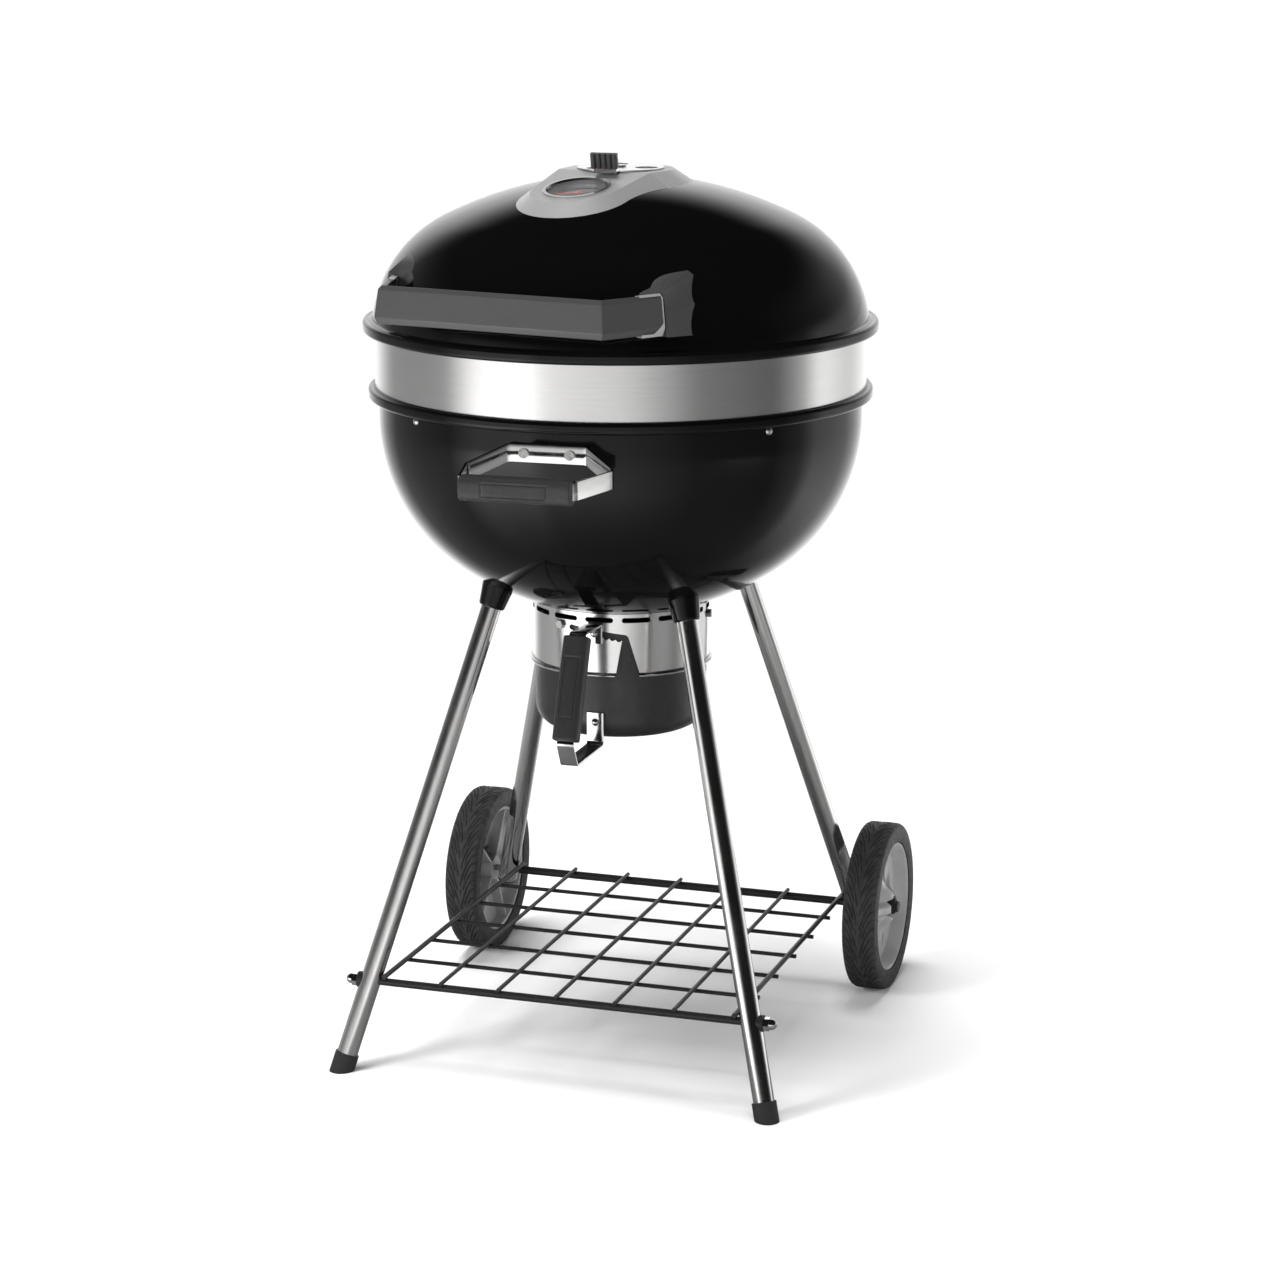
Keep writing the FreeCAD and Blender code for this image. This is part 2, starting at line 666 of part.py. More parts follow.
def thermometer():
    """Case, bezel, dial, glass, needle and probe, on the tilted axis of the housing's nose."""
    seat = gauge_placement()
    turn = turned(size("lid_turn"))
    radius = size("gauge_radius")

    def on_axis(radius, low, high):
        return Part.makeCylinder(radius, high - low, Vector(0, 0, low))

    def place(shape):
        shape.Placement = seat.multiply(shape.Placement)
        return shape

    case = on_axis(radius + 3, -14, -1).cut(on_axis(radius + 1.2, -11, 0))
    case = case.cut(on_axis(size("probe_radius"), -20, 0))
    ring = on_axis(size("gauge_bezel"), 0, 1.6).fuse(on_axis(radius + 3, -1, 0.2))
    bore = Part.makeCone(radius, radius + 2.2, 5, Vector(0, 0, -2))
    ring = ring.cut(bore).cut(on_axis(radius, -3, 0))
    dial = on_axis(radius + 1.2, -8, -7).cut(on_axis(1.5, -10, 0))
    glass = on_axis(radius + 1.2, -3, -1.05)
    probe = on_axis(size("probe_radius"), -size("probe_length"), -8.1)
    probe = probe.cut(on_axis(0.85, -11, -7))
    needle = on_axis(2.6, -5.6, -4.8).fuse(on_axis(0.8, -10.5, -5.6))
    pointer = stations_solid([
        [Vector(-1.2, -7, -5.5), Vector(1.2, -7, -5.5), Vector(1.2, -7, -5), Vector(-1.2, -7, -5)],
        [Vector(-0.5, 27, -5.5), Vector(0.5, 27, -5.5), Vector(0.5, 27, -5), Vector(-0.5, 27, -5)]])
    needle = needle.fuse(pointer)
    needle.Placement = Placement(Vector(), Rotation(UP, 110))
    feature("thermometer_case", place(case), turn)
    feature("thermometer_bezel", place(ring), turn)
    feature("thermometer_dial", place(dial), turn)
    feature("thermometer_glass", place(glass), turn)
    feature("thermometer_probe", place(probe), turn)
    feature("thermometer_needle", place(needle), turn)


DAMPER_LIFT = 0.3
TAB_ANGLE = 12
TAB_LEAN = 14
# how far the damper stands from fully open
DAMPER_SHUT = 35


def damper():
    """Turning vent disc with its arm, the ribbed tab on the arm and the rivet it turns on."""
    turn = turned(size("lid_turn"))
    base = size("housing_flat") + DAMPER_LIFT
    thick = 1.5
    disc = Part.makeCylinder(size("damper_radius"), thick, Vector(0, 0, base))
    for angle in (60, 180, 300):
        hole = polar(size("lid_vent_circle"), angle + DAMPER_SHUT, base - 1)
        disc = disc.cut(Part.makeCylinder(size("lid_vent_radius"), 4, hole))
    disc = disc.cut(Part.makeCylinder(3.05, 4, Vector(0, 0, base - 1)))
    arm = box(Vector(-13, -63, base), Vector(13, -44, base + thick))
    foot = Vector(0, -61.5, base)
    upright = box(Vector(-13, -63, base), Vector(13, -61.5, base + 18))
    upright.rotate(foot, Vector(1, 0, 0), TAB_LEAN)
    arm = arm.fuse(upright)
    arm.Placement = Placement(Vector(), turned(TAB_ANGLE))
    feature("vent_damper", disc.fuse(arm).removeSplitter(), turn)
    rib_count = 5
    tab = box(Vector(-15.5, -64.6, base + 6), Vector(15.5, -59.9, base + 23))
    for i in range(rib_count):
        x = -15.5 + (i + 0.5) * 31 / rib_count
        tab = tab.fuse(Part.makeCylinder(2.6, 17.4, Vector(x, -64.4, base + 5.8)))
    tab.rotate(foot, Vector(1, 0, 0), TAB_LEAN)
    tab = tab.cut(upright)
    tab.Placement = Placement(Vector(), turned(TAB_ANGLE))
    feature("damper_tab", tab, turn)
    rivet = Part.makeCylinder(3, 8, Vector(0, 0, base - 6))
    rivet = rivet.common(Part.makeCylinder(2.6, 8, Vector(0, 0, base - 6)).fuse(
        Part.makeCylinder(3, 8, Vector(0, 0, base))))
    head = Part.makeCylinder(6.5, 1.8, Vector(0, 0, base + thick + 0.1))
    feature("damper_rivet", rivet.fuse(head).removeSplitter(), turn)


# ---------------------------------------------------------------- lid hinge

def lid_hinge():
    """Bracket on the band, pin, and the leaf on the lid."""
    turn = turned(size("lid_turn"))
    reach, height = size("hinge_distance"), size("hinge_height")
    pin_radius = size("hinge_pin_radius")
    half = size("hinge_width") / 2
    leaf_half = half - 12
    pin_start = Vector(-half - 2, reach, height)
    pin_end = Vector(half + 2, reach, height)

    def profile(points, low, high):
        corners = [Vector(low, y, z) for y, z in points]
        face = Part.Face(Part.makePolygon(corners + corners[:1]))
        return face.extrude(Vector(high - low, 0, 0))

    arm = [(280, 798), (291, 798), (reach + 7, height - 14), (reach + 7, height),
           (reach, height + 7), (298.6, height - 1), (298.6, 841), (280, 841)]
    inside_band = Part.makeCylinder(size("band_radius"), 120, Vector(0, 0, 770))
    pin_hole = rod(pin_start, pin_end, pin_radius)
    plate = profile([(280, 798), (289, 798), (289, 841), (280, 841)], -half, half)
    bracket = plate.fuse(profile(arm, half - 10, half)).fuse(profile(arm, -half, -half + 10))
    bracket = bracket.cut(inside_band).cut(pin_hole)
    feature("lid_hinge_bracket", bracket, turn)
    feature("lid_hinge_pin", rod(pin_start, pin_end, pin_radius), turn)
    blade = [(reach - 5.5, height + 2), (reach + 6.2, height), (reach + 2, 861), (294, 884),
             (284, 905), (262, 905), (262, 859), (294, 859)]
    knuckle = rod(Vector(-leaf_half, reach, height), Vector(leaf_half, reach, height), 6.5)
    leaf = profile(blade, -leaf_half, leaf_half).fuse(knuckle)
    leaf = leaf.cut(rod(pin_start, pin_end, pin_radius + size("hub_clearance")))
    leaf = leaf.cut(lid_block())
    rim = Part.makeCylinder(size("lid_bead_radius") + size("lid_bead_half") + 0.2, 20,
                            Vector(0, 0, 838))
    leaf = leaf.cut(rim)
    leaf = max(leaf.Solids, key=lambda solid: solid.Volume)
    feature("lid_hinge_leaf", leaf, turn)
    screws = []
    for x in (-leaf_half + 6, leaf_half - 6):
        for z in (870, 892):
            start = Vector(x, lid_radius_at(z) - size("wall") - 3.5, z)
            screw = Part.makeCylinder(4, 12, start, Vector(0, 1, 0))
            screws.append(screw.common(lid_block(size("wall"))))
    group("lid_hinge_screws", screws, turn)


# ---------------------------------------------------------------- ash shroud and pot

def ash_shroud():
    """Stainless cylinder with vent slots, a sloping bayonet slot and a V-shaped way out."""
    body = new_body("ash_shroud")
    outer, inner = "Sizes.shroud_radius", "Sizes.shroud_radius - Sizes.shroud_wall"
    revolve(body, "shroud_wall_ring", [
        (inner, "Sizes.shroud_bottom"), (outer, "Sizes.shroud_bottom"),
        (outer, "Sizes.shroud_top"), (inner, "Sizes.shroud_top")])
    rolled = new_sketch(body, "shroud_bead_outline")
    ring_outline(rolled, "Sizes.shroud_radius + 1.6", "Sizes.shroud_bottom + Sizes.shroud_bead",
                 "Sizes.shroud_bead")
    roll = body.newObject("PartDesign::Revolution", "shroud_bead_ring")
    roll.Profile = rolled
    roll.ReferenceAxis = (rolled, ["V_Axis"])
    roll.Angle = 360
    half = "Sizes.slot_length / 2 - Sizes.slot_height / 2"
    low = "Sizes.slot_level - Sizes.slot_height / 2"
    high = "Sizes.slot_level + Sizes.slot_height / 2"
    slot = new_sketch(body, "air_slot_outline")
    outline(slot, [(f"-({half})", low), (half, low), (half, high), (f"-({half})", high)],
            {1: "Sizes.slot_height * 0.505", 3: "Sizes.slot_height * 0.505"})
    cut = pocket(body, "air_slot", slot, SHROUD_CUT_REVERSED)
    polar_pattern(body, "air_slots", cut, "Sizes.slot_count")
    path = new_sketch(body, "bayonet_outline")
    outline(path, [
        (17.4, 445), (26.6, 497.3), (26, 497.5), (20, 498.5), (18.8, 498.7), (12.8, 499.6),
        (11.6, 499.8), (5.6, 500.7), (-34, 506.6), (-34, 513.2), (1, 508.4), (29, 504.4),
        (34, 500), (49.5, 445)],
        {2: -3.3, 4: -3.3, 6: -3.3, 8: -3.4, 11: -6})
    pocket(body, "bayonet_path", path, SHROUD_CUT_REVERSED)
    keep(body, "ash_shroud", rotation=turned(size("shroud_turn")))


SHROUD_CUT_REVERSED = True


def ash_pot():
    """Pot with a rounded bottom corner and vent slots that line up with the shroud's."""
    body = new_body("ash_pot")
    wall, corner = "Sizes.pot_wall", "Sizes.pot_corner"
    radius, bottom, top = "Sizes.pot_radius", "Sizes.pot_bottom", "Sizes.pot_top"
    revolve(body, "pot_shell", [
        (0, bottom), (f"{radius} - {corner}", bottom), (radius, f"{bottom} + {corner}"),
        (radius, top), (f"{radius} - {wall}", top), (f"{radius} - {wall}", f"{bottom} + {corner}"),
        (f"{radius} - {corner}", f"{bottom} + {wall}"), (0, f"{bottom} + {wall}")],
        {1: corner, 5: f"-({corner} - {wall})"})
    half = "Sizes.slot_length / 2 - Sizes.slot_height / 2"
    low = "Sizes.slot_level - Sizes.slot_height / 2"
    high = "Sizes.slot_level + Sizes.slot_height / 2"
    slot = new_sketch(body, "pot_slot_outline")
    outline(slot, [(f"-({half})", low), (half, low), (half, high), (f"-({half})", high)],
            {1: "Sizes.slot_height * 0.505", 3: "Sizes.slot_height * 0.505"})
    cut = pocket(body, "pot_slot", slot, SHROUD_CUT_REVERSED)
    polar_pattern(body, "pot_slots", cut, "Sizes.slot_count")
    keep(body, "ash_pot", rotation=turned(size("shroud_turn")))


def in_plane(points):
    """Points of the handle's upright plane: distance from the axis, and height."""
    return [Vector(0, -distance, height) for distance, height in points]


def ash_handle():
    """Steel strap bent from the pot's pin plate, out through the grip and back to the pot."""
    turn = turned(size("pot_turn"))
    thick, width = 2.5, 20
    surface = size("shroud_radius") + 1.0 + thick / 2
    pot_face = size("pot_radius") + 0.05 + thick / 2
    side = Vector(1, 0, 0)
    route = [(surface, 494), (surface, 516), (166, 519), (214.5, 401), (200, 374.5),
             (pot_face + 2, 373), (pot_face, 377), (pot_face, 411)]
    start, end = Vector(0, -167.5, 515.4), Vector(0, -212.6, 405.6)
    core = strap(in_plane([(166, 519), (214.5, 401)]), side, thick, width, 1)
    grip = oval_grip(start, end, side, 30, 24).cut(core)
    handle = strap(in_plane(route), side, thick, width, 5)
    outside_pot = Part.makeCylinder(size("pot_radius"), 200, Vector(0, 0, 360))
    fasteners = {"ash_pot_pin": (size("slot_pin_level"), surface, size("pin_radius")),
                 "ash_handle_rivet": (400, pot_face, 2.5)}
    for label, (height, plate, radius) in fasteners.items():
        shank = rod(Vector(0, -size("pot_radius") + 2, height),
                    Vector(0, -plate - thick / 2 - 0.5, height), radius)
        handle = handle.cut(shank)
        dome = Part.makeSphere(5, Vector(0, -(plate + thick / 2 - 2), height))
        dome = dome.cut(box(Vector(-9, -plate - thick / 2, height - 9), Vector(9, 0, height + 9)))
        feature(label, shank.fuse(dome).cut(outside_pot).removeSplitter(), turn)
    feature("ash_handle_strap", handle, turn)
    feature("ash_handle_grip", grip, turn)


def oval_grip(start, end, across, width, depth):
    """A rubber grip with a rounded oblong section between two points."""
    along = (end - start).normalize()
    normal = along.cross(across).normalize()
    corner = 0.36 * min(width, depth)
    ring = []
    for sx, sy, first in ((1, 1, 0), (-1, 1, 90), (-1, -1, 180), (1, -1, 270)):
        centre_x = sx * (width / 2 - corner)
        centre_y = sy * (depth / 2 - corner)
        for step in range(4):
            angle = math.radians(first + 30 * step)
            ring.append((centre_x + corner * math.cos(angle), centre_y + corner * math.sin(angle)))
    length = (end - start).Length
    stations = []
    for t, scale in ((0, 0.86), (2.2 / length, 1), (1 - 2.2 / length, 1), (1, 0.86)):
        base = start + (end - start) * t
        stations.append([base + across * (x * scale) + normal * (y * scale) for x, y in ring])
    return stations_solid(stations)


def shroud_bolts():
    """Hexagon-headed bolts that hold the shroud to the bowl's neck."""
    bolts = []
    for angle in (96.8, 216.8, 336.8):
        base = polar(size("shroud_radius"), angle, 511.5)
        out = polar(1, angle)
        head = hexagon(9, 4.2)
        head.Placement = Placement(base, Rotation(UP, out))
        bolts.append(head)
    group("shroud_bolts", bolts)


# ---------------------------------------------------------------- bowl handle

HANDLE_BACK = 281
HANDLE_LOOP_HEIGHT = 725.5
GRIP_DISTANCE = 388
GRIP_DROP = 1.5


def bowl_handle():
    turn = turned(size("handle_turn"))
    thick = size("strap_thickness")
    right = [Vector(44, -HANDLE_BACK, 744), Vector(83, -309, HANDLE_LOOP_HEIGHT),
             Vector(64, -GRIP_DISTANCE, HANDLE_LOOP_HEIGHT),
             Vector(2, -GRIP_DISTANCE, HANDLE_LOOP_HEIGHT)]
    left = [Vector(-p.x, p.y, p.z) for p in reversed(right)]
    loop = strap(left + right, UP, thick, size("strap_height"), 8)
    half = size("grip_length") / 2
    start = Vector(-half, -GRIP_DISTANCE, HANDLE_LOOP_HEIGHT - GRIP_DROP)
    end = Vector(half, -GRIP_DISTANCE, HANDLE_LOOP_HEIGHT - GRIP_DROP)
    grip = oval_grip(start, end, UP, size("grip_height"), size("grip_depth"))
    feature("bowl_handle_grip", grip.cut(loop), turn)
    bolts = []
    bowl_side = Part.makeCylinder(size("bowl_radius"), 100, Vector(0, 0, 700))
    for x in (-26, 26):
        face = Vector(x, -HANDLE_BACK - thick / 2, 744)
        shank = rod(face, Vector(x, -HANDLE_BACK + 8, 744), 4)
        loop = loop.cut(shank)
        head = Part.makeCylinder(5.5, 2.6, face, Vector(0, -1, 0))
        bolts.append(head.fuse(shank).cut(bowl_side))
    feature("bowl_handle_strap", loop, turn)
    group("bowl_handle_bolts", bolts, turn)


# ---------------------------------------------------------------- legs, sockets, feet

LEG_SIDES = {"front_left": (-1, -1), "front_right": (1, -1),
             "rear_left": (-1, 1), "rear_right": (1, 1)}


def leg_point(sides, height):
    """The leg's centre line at a height."""
    reach = size("leg_foot") - size("leg_slope") * height
    return Vector(sides[0] * reach, sides[1] * reach, height)


def leg_frame(sides, height):
    """A placement on the leg's centre line whose Z runs up along the leg."""
    low, high = leg_point(sides, height), leg_point(sides, height + 100)
    return Placement(low, Rotation(UP, high - low))


LEG_STRETCH = "sqrt(1 + 2 * Sizes.leg_slope ^ 2)"
LEG_TOP = 546
SOCKET_BOTTOM = 530.5
REAR_LEG_BOTTOM = 92
FRONT_LEG_BOTTOM = 6


def leg(name, sides):
    """Chrome tube, cross-drilled where the shelf rod or the axle passes."""
    rear = sides[1] > 0
    bottom = REAR_LEG_BOTTOM if rear else FRONT_LEG_BOTTOM
    frame = leg_frame(sides, bottom)
    length = f"({LEG_TOP} - {bottom}) * {LEG_STRETCH}"
    outer = cylinder(f"{name}_outside", "Sizes.leg_radius", length)
    inner = cylinder(f"{name}_inside", "Sizes.leg_radius - Sizes.leg_wall", length)
    tube = cut_from(f"{name}_tube", outer, inner)
    cross = cross_rod_line(sides)
    through = cylinder(f"{name}_cross_hole", cross[1], 60,
                       frame.inverse().multVec(cross[0]),
                       frame.inverse().Rotation.multiply(Rotation(UP, Vector(1, 0, 0))))
    drilled = cut_from(name, tube, through)
    keep(drilled, name, frame.Base, frame.Rotation)


def cross_rod_line(sides):
    """Start of the hole through a leg along X, and its radius."""
    rear = sides[1] > 0
    distance = size("axle_distance") if rear else -leg_front_distance()
    height = size("axle_height")
    centre = leg_point(sides, height).x
    radius = "Sizes.axle_radius" if rear else "Sizes.shelf_rod_radius"
    return Vector(centre - 30, distance, height), radius


def leg_front_distance():
    """How far in front of the kettle's axis the shelf's front rod lies."""
    return size("leg_foot") - size("leg_slope") * size("axle_height")


def leg_sockets():
    """Enamelled cups under the bowl that take the tops of the legs."""
    sockets = []
    bowl_underside = Part.makeSphere(size("bowl_crown_radius"), Vector(0, 0, value(BOWL_CENTRE)))
    for sides in LEG_SIDES.values():
        cone = Part.makeCone(size("socket_low"), size("socket_high"), 38)
        cone = cone.makeFillet(3, [edge for edge in cone.Edges if edge.BoundBox.ZMax < 0.1])
        cone.Placement = leg_frame(sides, SOCKET_BOTTOM)
        bore = Part.makeCylinder(size("leg_radius"), 60, Vector(0, 0, -60))
        bore.Placement = leg_frame(sides, LEG_TOP)
        sockets.append(cone.cut(bore).cut(bowl_underside))
    group("leg_sockets", sockets)


def leg_bolts():
    """Bolt heads inside the bowl, one above each leg."""
    heads = []
    for sides in LEG_SIDES.values():
        frame = leg_frame(sides, LEG_TOP + 10.6)
        head = hexagon(11, 6)
        head.Placement = frame.multiply(Placement(Vector(0, 0, 3.6), Rotation()))
        washer = Part.makeCylinder(9, 1.5)
        washer.Placement = frame.multiply(Placement(Vector(0, 0, 2.1), Rotation()))
        inner = Part.makeSphere(size("bowl_crown_radius") - size("wall"), Vector(0, 0, value(BOWL_CENTRE)))
        heads.append(head.fuse(washer).common(inner))
    group("leg_bolts", heads)


def foot_caps():
    """Rubber caps on the front legs, flat where they stand on the ground."""
    caps = []
    for sides in ((-1, -1), (1, -1)):
        cap = Part.makeCylinder(size("cap_radius"), size("cap_height") + 12, Vector(0, 0, -12))
        cap.Placement = leg_frame(sides, 0)
        cap = cap.cut(box(Vector(-400, -400, -60), Vector(400, 400, 0)))
        tube = Part.makeCylinder(size("leg_radius"), 60)
        tube.Placement = leg_frame(sides, FRONT_LEG_BOTTOM)
        caps.append(cap.cut(tube))
    group("foot_caps", caps)


def rear_plugs():
    """Plastic plugs in the cut lower ends of the rear legs."""
    plugs = []
    for sides in ((-1, 1), (1, 1)):
        plug = Part.makeCylinder(size("leg_radius"), 2.5, Vector(0, 0, -2.5)).fuse(
            Part.makeCylinder(size("leg_radius") - size("leg_wall"), 5))
        plug.Placement = leg_frame(sides, REAR_LEG_BOTTOM)
        plugs.append(plug)
    group("rear_leg_plugs", plugs)


# ---------------------------------------------------------------- axle and wheels

ALONG_X = Rotation(Vector(0, 1, 0), 90)


def axle():
    bar = cylinder("axle", "Sizes.axle_radius", "Sizes.axle_length")
    start = Vector(-size("axle_length") / 2, size("axle_distance"), size("axle_height"))
    keep(bar, "axle", start, ALONG_X)


def wheel(side_name, side):
    """Rubber tyre and its moulded hub. Each is drawn about Z, which then points outwards."""
    seat = Vector(side * size("wheel_centre"), size("axle_distance"), size("axle_height"))
    spin = Rotation(Vector(0, 1, 0), 90 * side)
    tyre = new_body(f"tyre_{side_name}")
    inner, outer, half = "Sizes.hub_radius", "Sizes.tyre_radius", "Sizes.tyre_half"
    revolve(tyre, f"tyre_{side_name}_ring", [
        (inner, f"-{half} + 3"), (f"{inner} + 3", f"-{half}"), (f"{outer} - 6", f"-{half}"),
        (f"{outer} - 1", f"-{half} + 4"), (f"{outer} - 1", f"{half} - 4"),
        (f"{outer} - 6", half), (f"{inner} + 3", half), (inner, f"{half} - 3")],
        {2: 6, 3: 150, 4: 6})
    keep(tyre, f"tyre_{side_name}", seat, spin)
    hub = new_body(f"hub_{side_name}")
    revolve(hub, f"hub_{side_name}_disc", [
        ("Sizes.axle_radius + Sizes.hub_clearance", -11), (15, -11), (17, 3), ("Sizes.hub_radius - 7", -2),
        ("Sizes.hub_radius - 5", -17), (inner, -17), (inner, 17), ("Sizes.hub_radius - 2.5", 18.5),
        ("Sizes.hub_radius - 6", 16), ("Sizes.hub_radius - 7.5", 2), (20, 7), (17, 13),
        ("Sizes.axle_radius + Sizes.hub_clearance", 13)])
    rib = new_sketch(hub, f"hub_{side_name}_rib_outline", "XZ_Plane")
    outline(rib, [(12, 3), (70, -1), (71, 3.2), (17, 12.6), (12, 12.6)])
    first = pad(hub, f"hub_{side_name}_rib", rib, 5, midplane=True)
    doc.recompute()
    polar_pattern(hub, f"hub_{side_name}_star", first, 5)
    brace = new_sketch(hub, f"hub_{side_name}_brace_outline", "XZ_Plane")
    outline(brace, [(12, -10.6), (16, -10.6), (73, -7), (73, 1), (12, 4)])
    second = pad(hub, f"hub_{side_name}_brace", brace, 2.4, midplane=True)
    doc.recompute()
    polar_pattern(hub, f"hub_{side_name}_braces", second, 6)
    keep(hub, f"hub_{side_name}", seat, spin)


def axle_nuts():
    """Cap nuts on the ends of the axle, just outside the hubs."""
    nuts = []
    for side in (-1, 1):
        base = Vector(side * (size("wheel_centre") + 13.4), size("axle_distance"), size("axle_height"))
        nut = hexagon(16, 9).fuse(Part.makeCylinder(11, 2))
        nut = nut.fuse(Part.makeCylinder(6.8, 12.4))
        nut = nut.cut(Part.makeCylinder(size("axle_radius"), 11.2))
        nut.Placement = Placement(base, Rotation(Vector(0, 1, 0), 90 * side))
        nuts.append(nut)
    group("axle_nuts", nuts)


# ---------------------------------------------------------------- bottom shelf

def shelf():
    """Welded wire shelf: front rod, rear tube round the axle, side wires and two sets of wires."""
    front, rear = -leg_front_distance(), size("axle_distance")
    level = size("axle_height")
    rod_half = size("shelf_rod_half")
    front_rod = cylinder("shelf_front_rod", "Sizes.shelf_rod_radius", "2 * Sizes.shelf_rod_half")
    keep(front_rod, "shelf_front_rod", Vector(-rod_half, front, level), ALONG_X)
    outside = cylinder("shelf_tube_outside", "Sizes.shelf_tube_radius", "2 * Sizes.shelf_tube_half")
    inside = cylinder("shelf_tube_inside", "Sizes.axle_radius", "2 * Sizes.shelf_tube_half")
    tube = cut_from("shelf_rear_tube", outside, inside)
    keep(tube, "shelf_rear_tube", Vector(-size("shelf_tube_half"), rear, level), ALONG_X)
    bite = 0.4
    half = size("shelf_half")
    cells = int(size("cell_count"))
    side_wire, wire = size("side_wire_radius"), size("wire_radius")
    top = level + size("shelf_rod_radius")

    def along_y(x, radius):
        height = top + radius - bite
        return rod(Vector(x, front - 5, height), Vector(x, rear + 5, height), radius)

    xs = [-half + 2 * half * i / cells for i in range(cells + 1)]
    group("shelf_side_wires", [along_y(xs[0], side_wire), along_y(xs[-1], side_wire)])
    group("shelf_long_wires", [along_y(x, wire) for x in xs[1:-1]])
    ys = [front + (rear - front) * i / cells for i in range(1, cells)]
    low = top - bite - wire + 0.4
    group("shelf_cross_wires", [
        rod(Vector(-half - 6, y, low), Vector(half + 6, y, low), wire) for y in ys])
    washers, nuts = [], []
    bar = rod(Vector(-rod_half, front, level), Vector(rod_half, front, level),
              size("shelf_rod_radius"))
    for side in (-1, 1):
        seat = side * (leg_point((1, -1), level).x + 12.6)
        outward = Vector(side, 0, 0)
        washer = Part.makeCylinder(9.5, 8.2, Vector(seat - side * 6, front, level), outward)
        tube = Part.makeCylinder(size("leg_radius"), 200)
        tube.Placement = leg_frame((side, -1), 30)
        washers.append(washer.cut(bar).cut(tube).Solids[-1])
        nut = hexagon(14, 7).fuse(Part.makeCylinder(6.2, 9))
        nut = nut.fuse(Part.makeSphere(6.2, Vector(0, 0, 9)))
        nut.Placement = Placement(Vector(seat + side * 2.2, front, level), Rotation(UP, outward))
        nuts.append(nut.cut(bar))
    group("shelf_rod_washers", washers)
    group("shelf_acorn_nuts", nuts)


# ---------------------------------------------------------------- cooking and charcoal grids

BRACKET_ANGLES = (54, 144, 234, 324)


def grid_brackets():
    """Pressed brackets inside the bowl's rim that carry the cooking grid, and their screws."""
    brackets, screws = [], []
    wall_inside = size("bowl_radius") - size("wall")
    for angle in BRACKET_ANGLES:
        plate = box(Vector(-11, -wall_inside + 1.7, 724), Vector(11, -wall_inside + 4.3, 774))
        for height in (735, size("grid_bottom") - 3):
            ledge = box(Vector(-9, -wall_inside + 2, height), Vector(9, -wall_inside + 18, height + 2.6))
            plate = plate.fuse(ledge)
        plate.Placement = Placement(Vector(), turned(angle))
        brackets.append(plate)
        head = Part.makeSphere(5, polar(size("bowl_radius") - 2.4, angle, 761.5))
        head = head.cut(Part.makeCylinder(size("bowl_radius"), 60, Vector(0, 0, 730)))
        screws.append(head)
    group("grid_brackets", brackets)
    group("grid_bracket_screws", screws)


def bars(low_x, high_x, radius, bottom, height, width):
    """Parallel cast bars along Y, clipped to a disc."""
    pitch = size("bar_pitch")
    disc = Part.makeCylinder(radius, height, Vector(0, 0, bottom))
    first = math.ceil((low_x + width) / pitch)
    last = math.floor((high_x - width) / pitch)
    solids = [box(Vector(i * pitch - width / 2, -radius, bottom),
                  Vector(i * pitch + width / 2, radius, bottom + height)).common(disc)
              for i in range(first, last + 1)]
    return solids


def grid_section(low_x, high_x):
    """One section of the cooking grid: its edge frame and the bars inside it."""
    radius, bottom, height = size("grid_radius"), size("grid_bottom"), size("grid_height")
    edge = 7
    disc = Part.makeCylinder(radius, height, Vector(0, 0, bottom))
    hollow = Part.makeCylinder(radius - edge, height, Vector(0, 0, bottom))
    slab = box(Vector(low_x, -radius - 1, bottom), Vector(high_x, radius + 1, bottom + height))
    inner = box(Vector(low_x + edge, -radius, bottom), Vector(high_x - edge, radius, bottom + height))
    frame = disc.common(slab).cut(hollow.common(inner))
    section = frame
    for bar in bars(low_x + edge, high_x - edge, radius - 1, bottom + 0.5, height - 1, 5):
        section = section.fuse(bar)
    cross = box(Vector(low_x + 1, -3, bottom + 0.5), Vector(high_x - 1, 3, bottom + height - 3))
    return section.fuse(cross.common(disc)).removeSplitter()


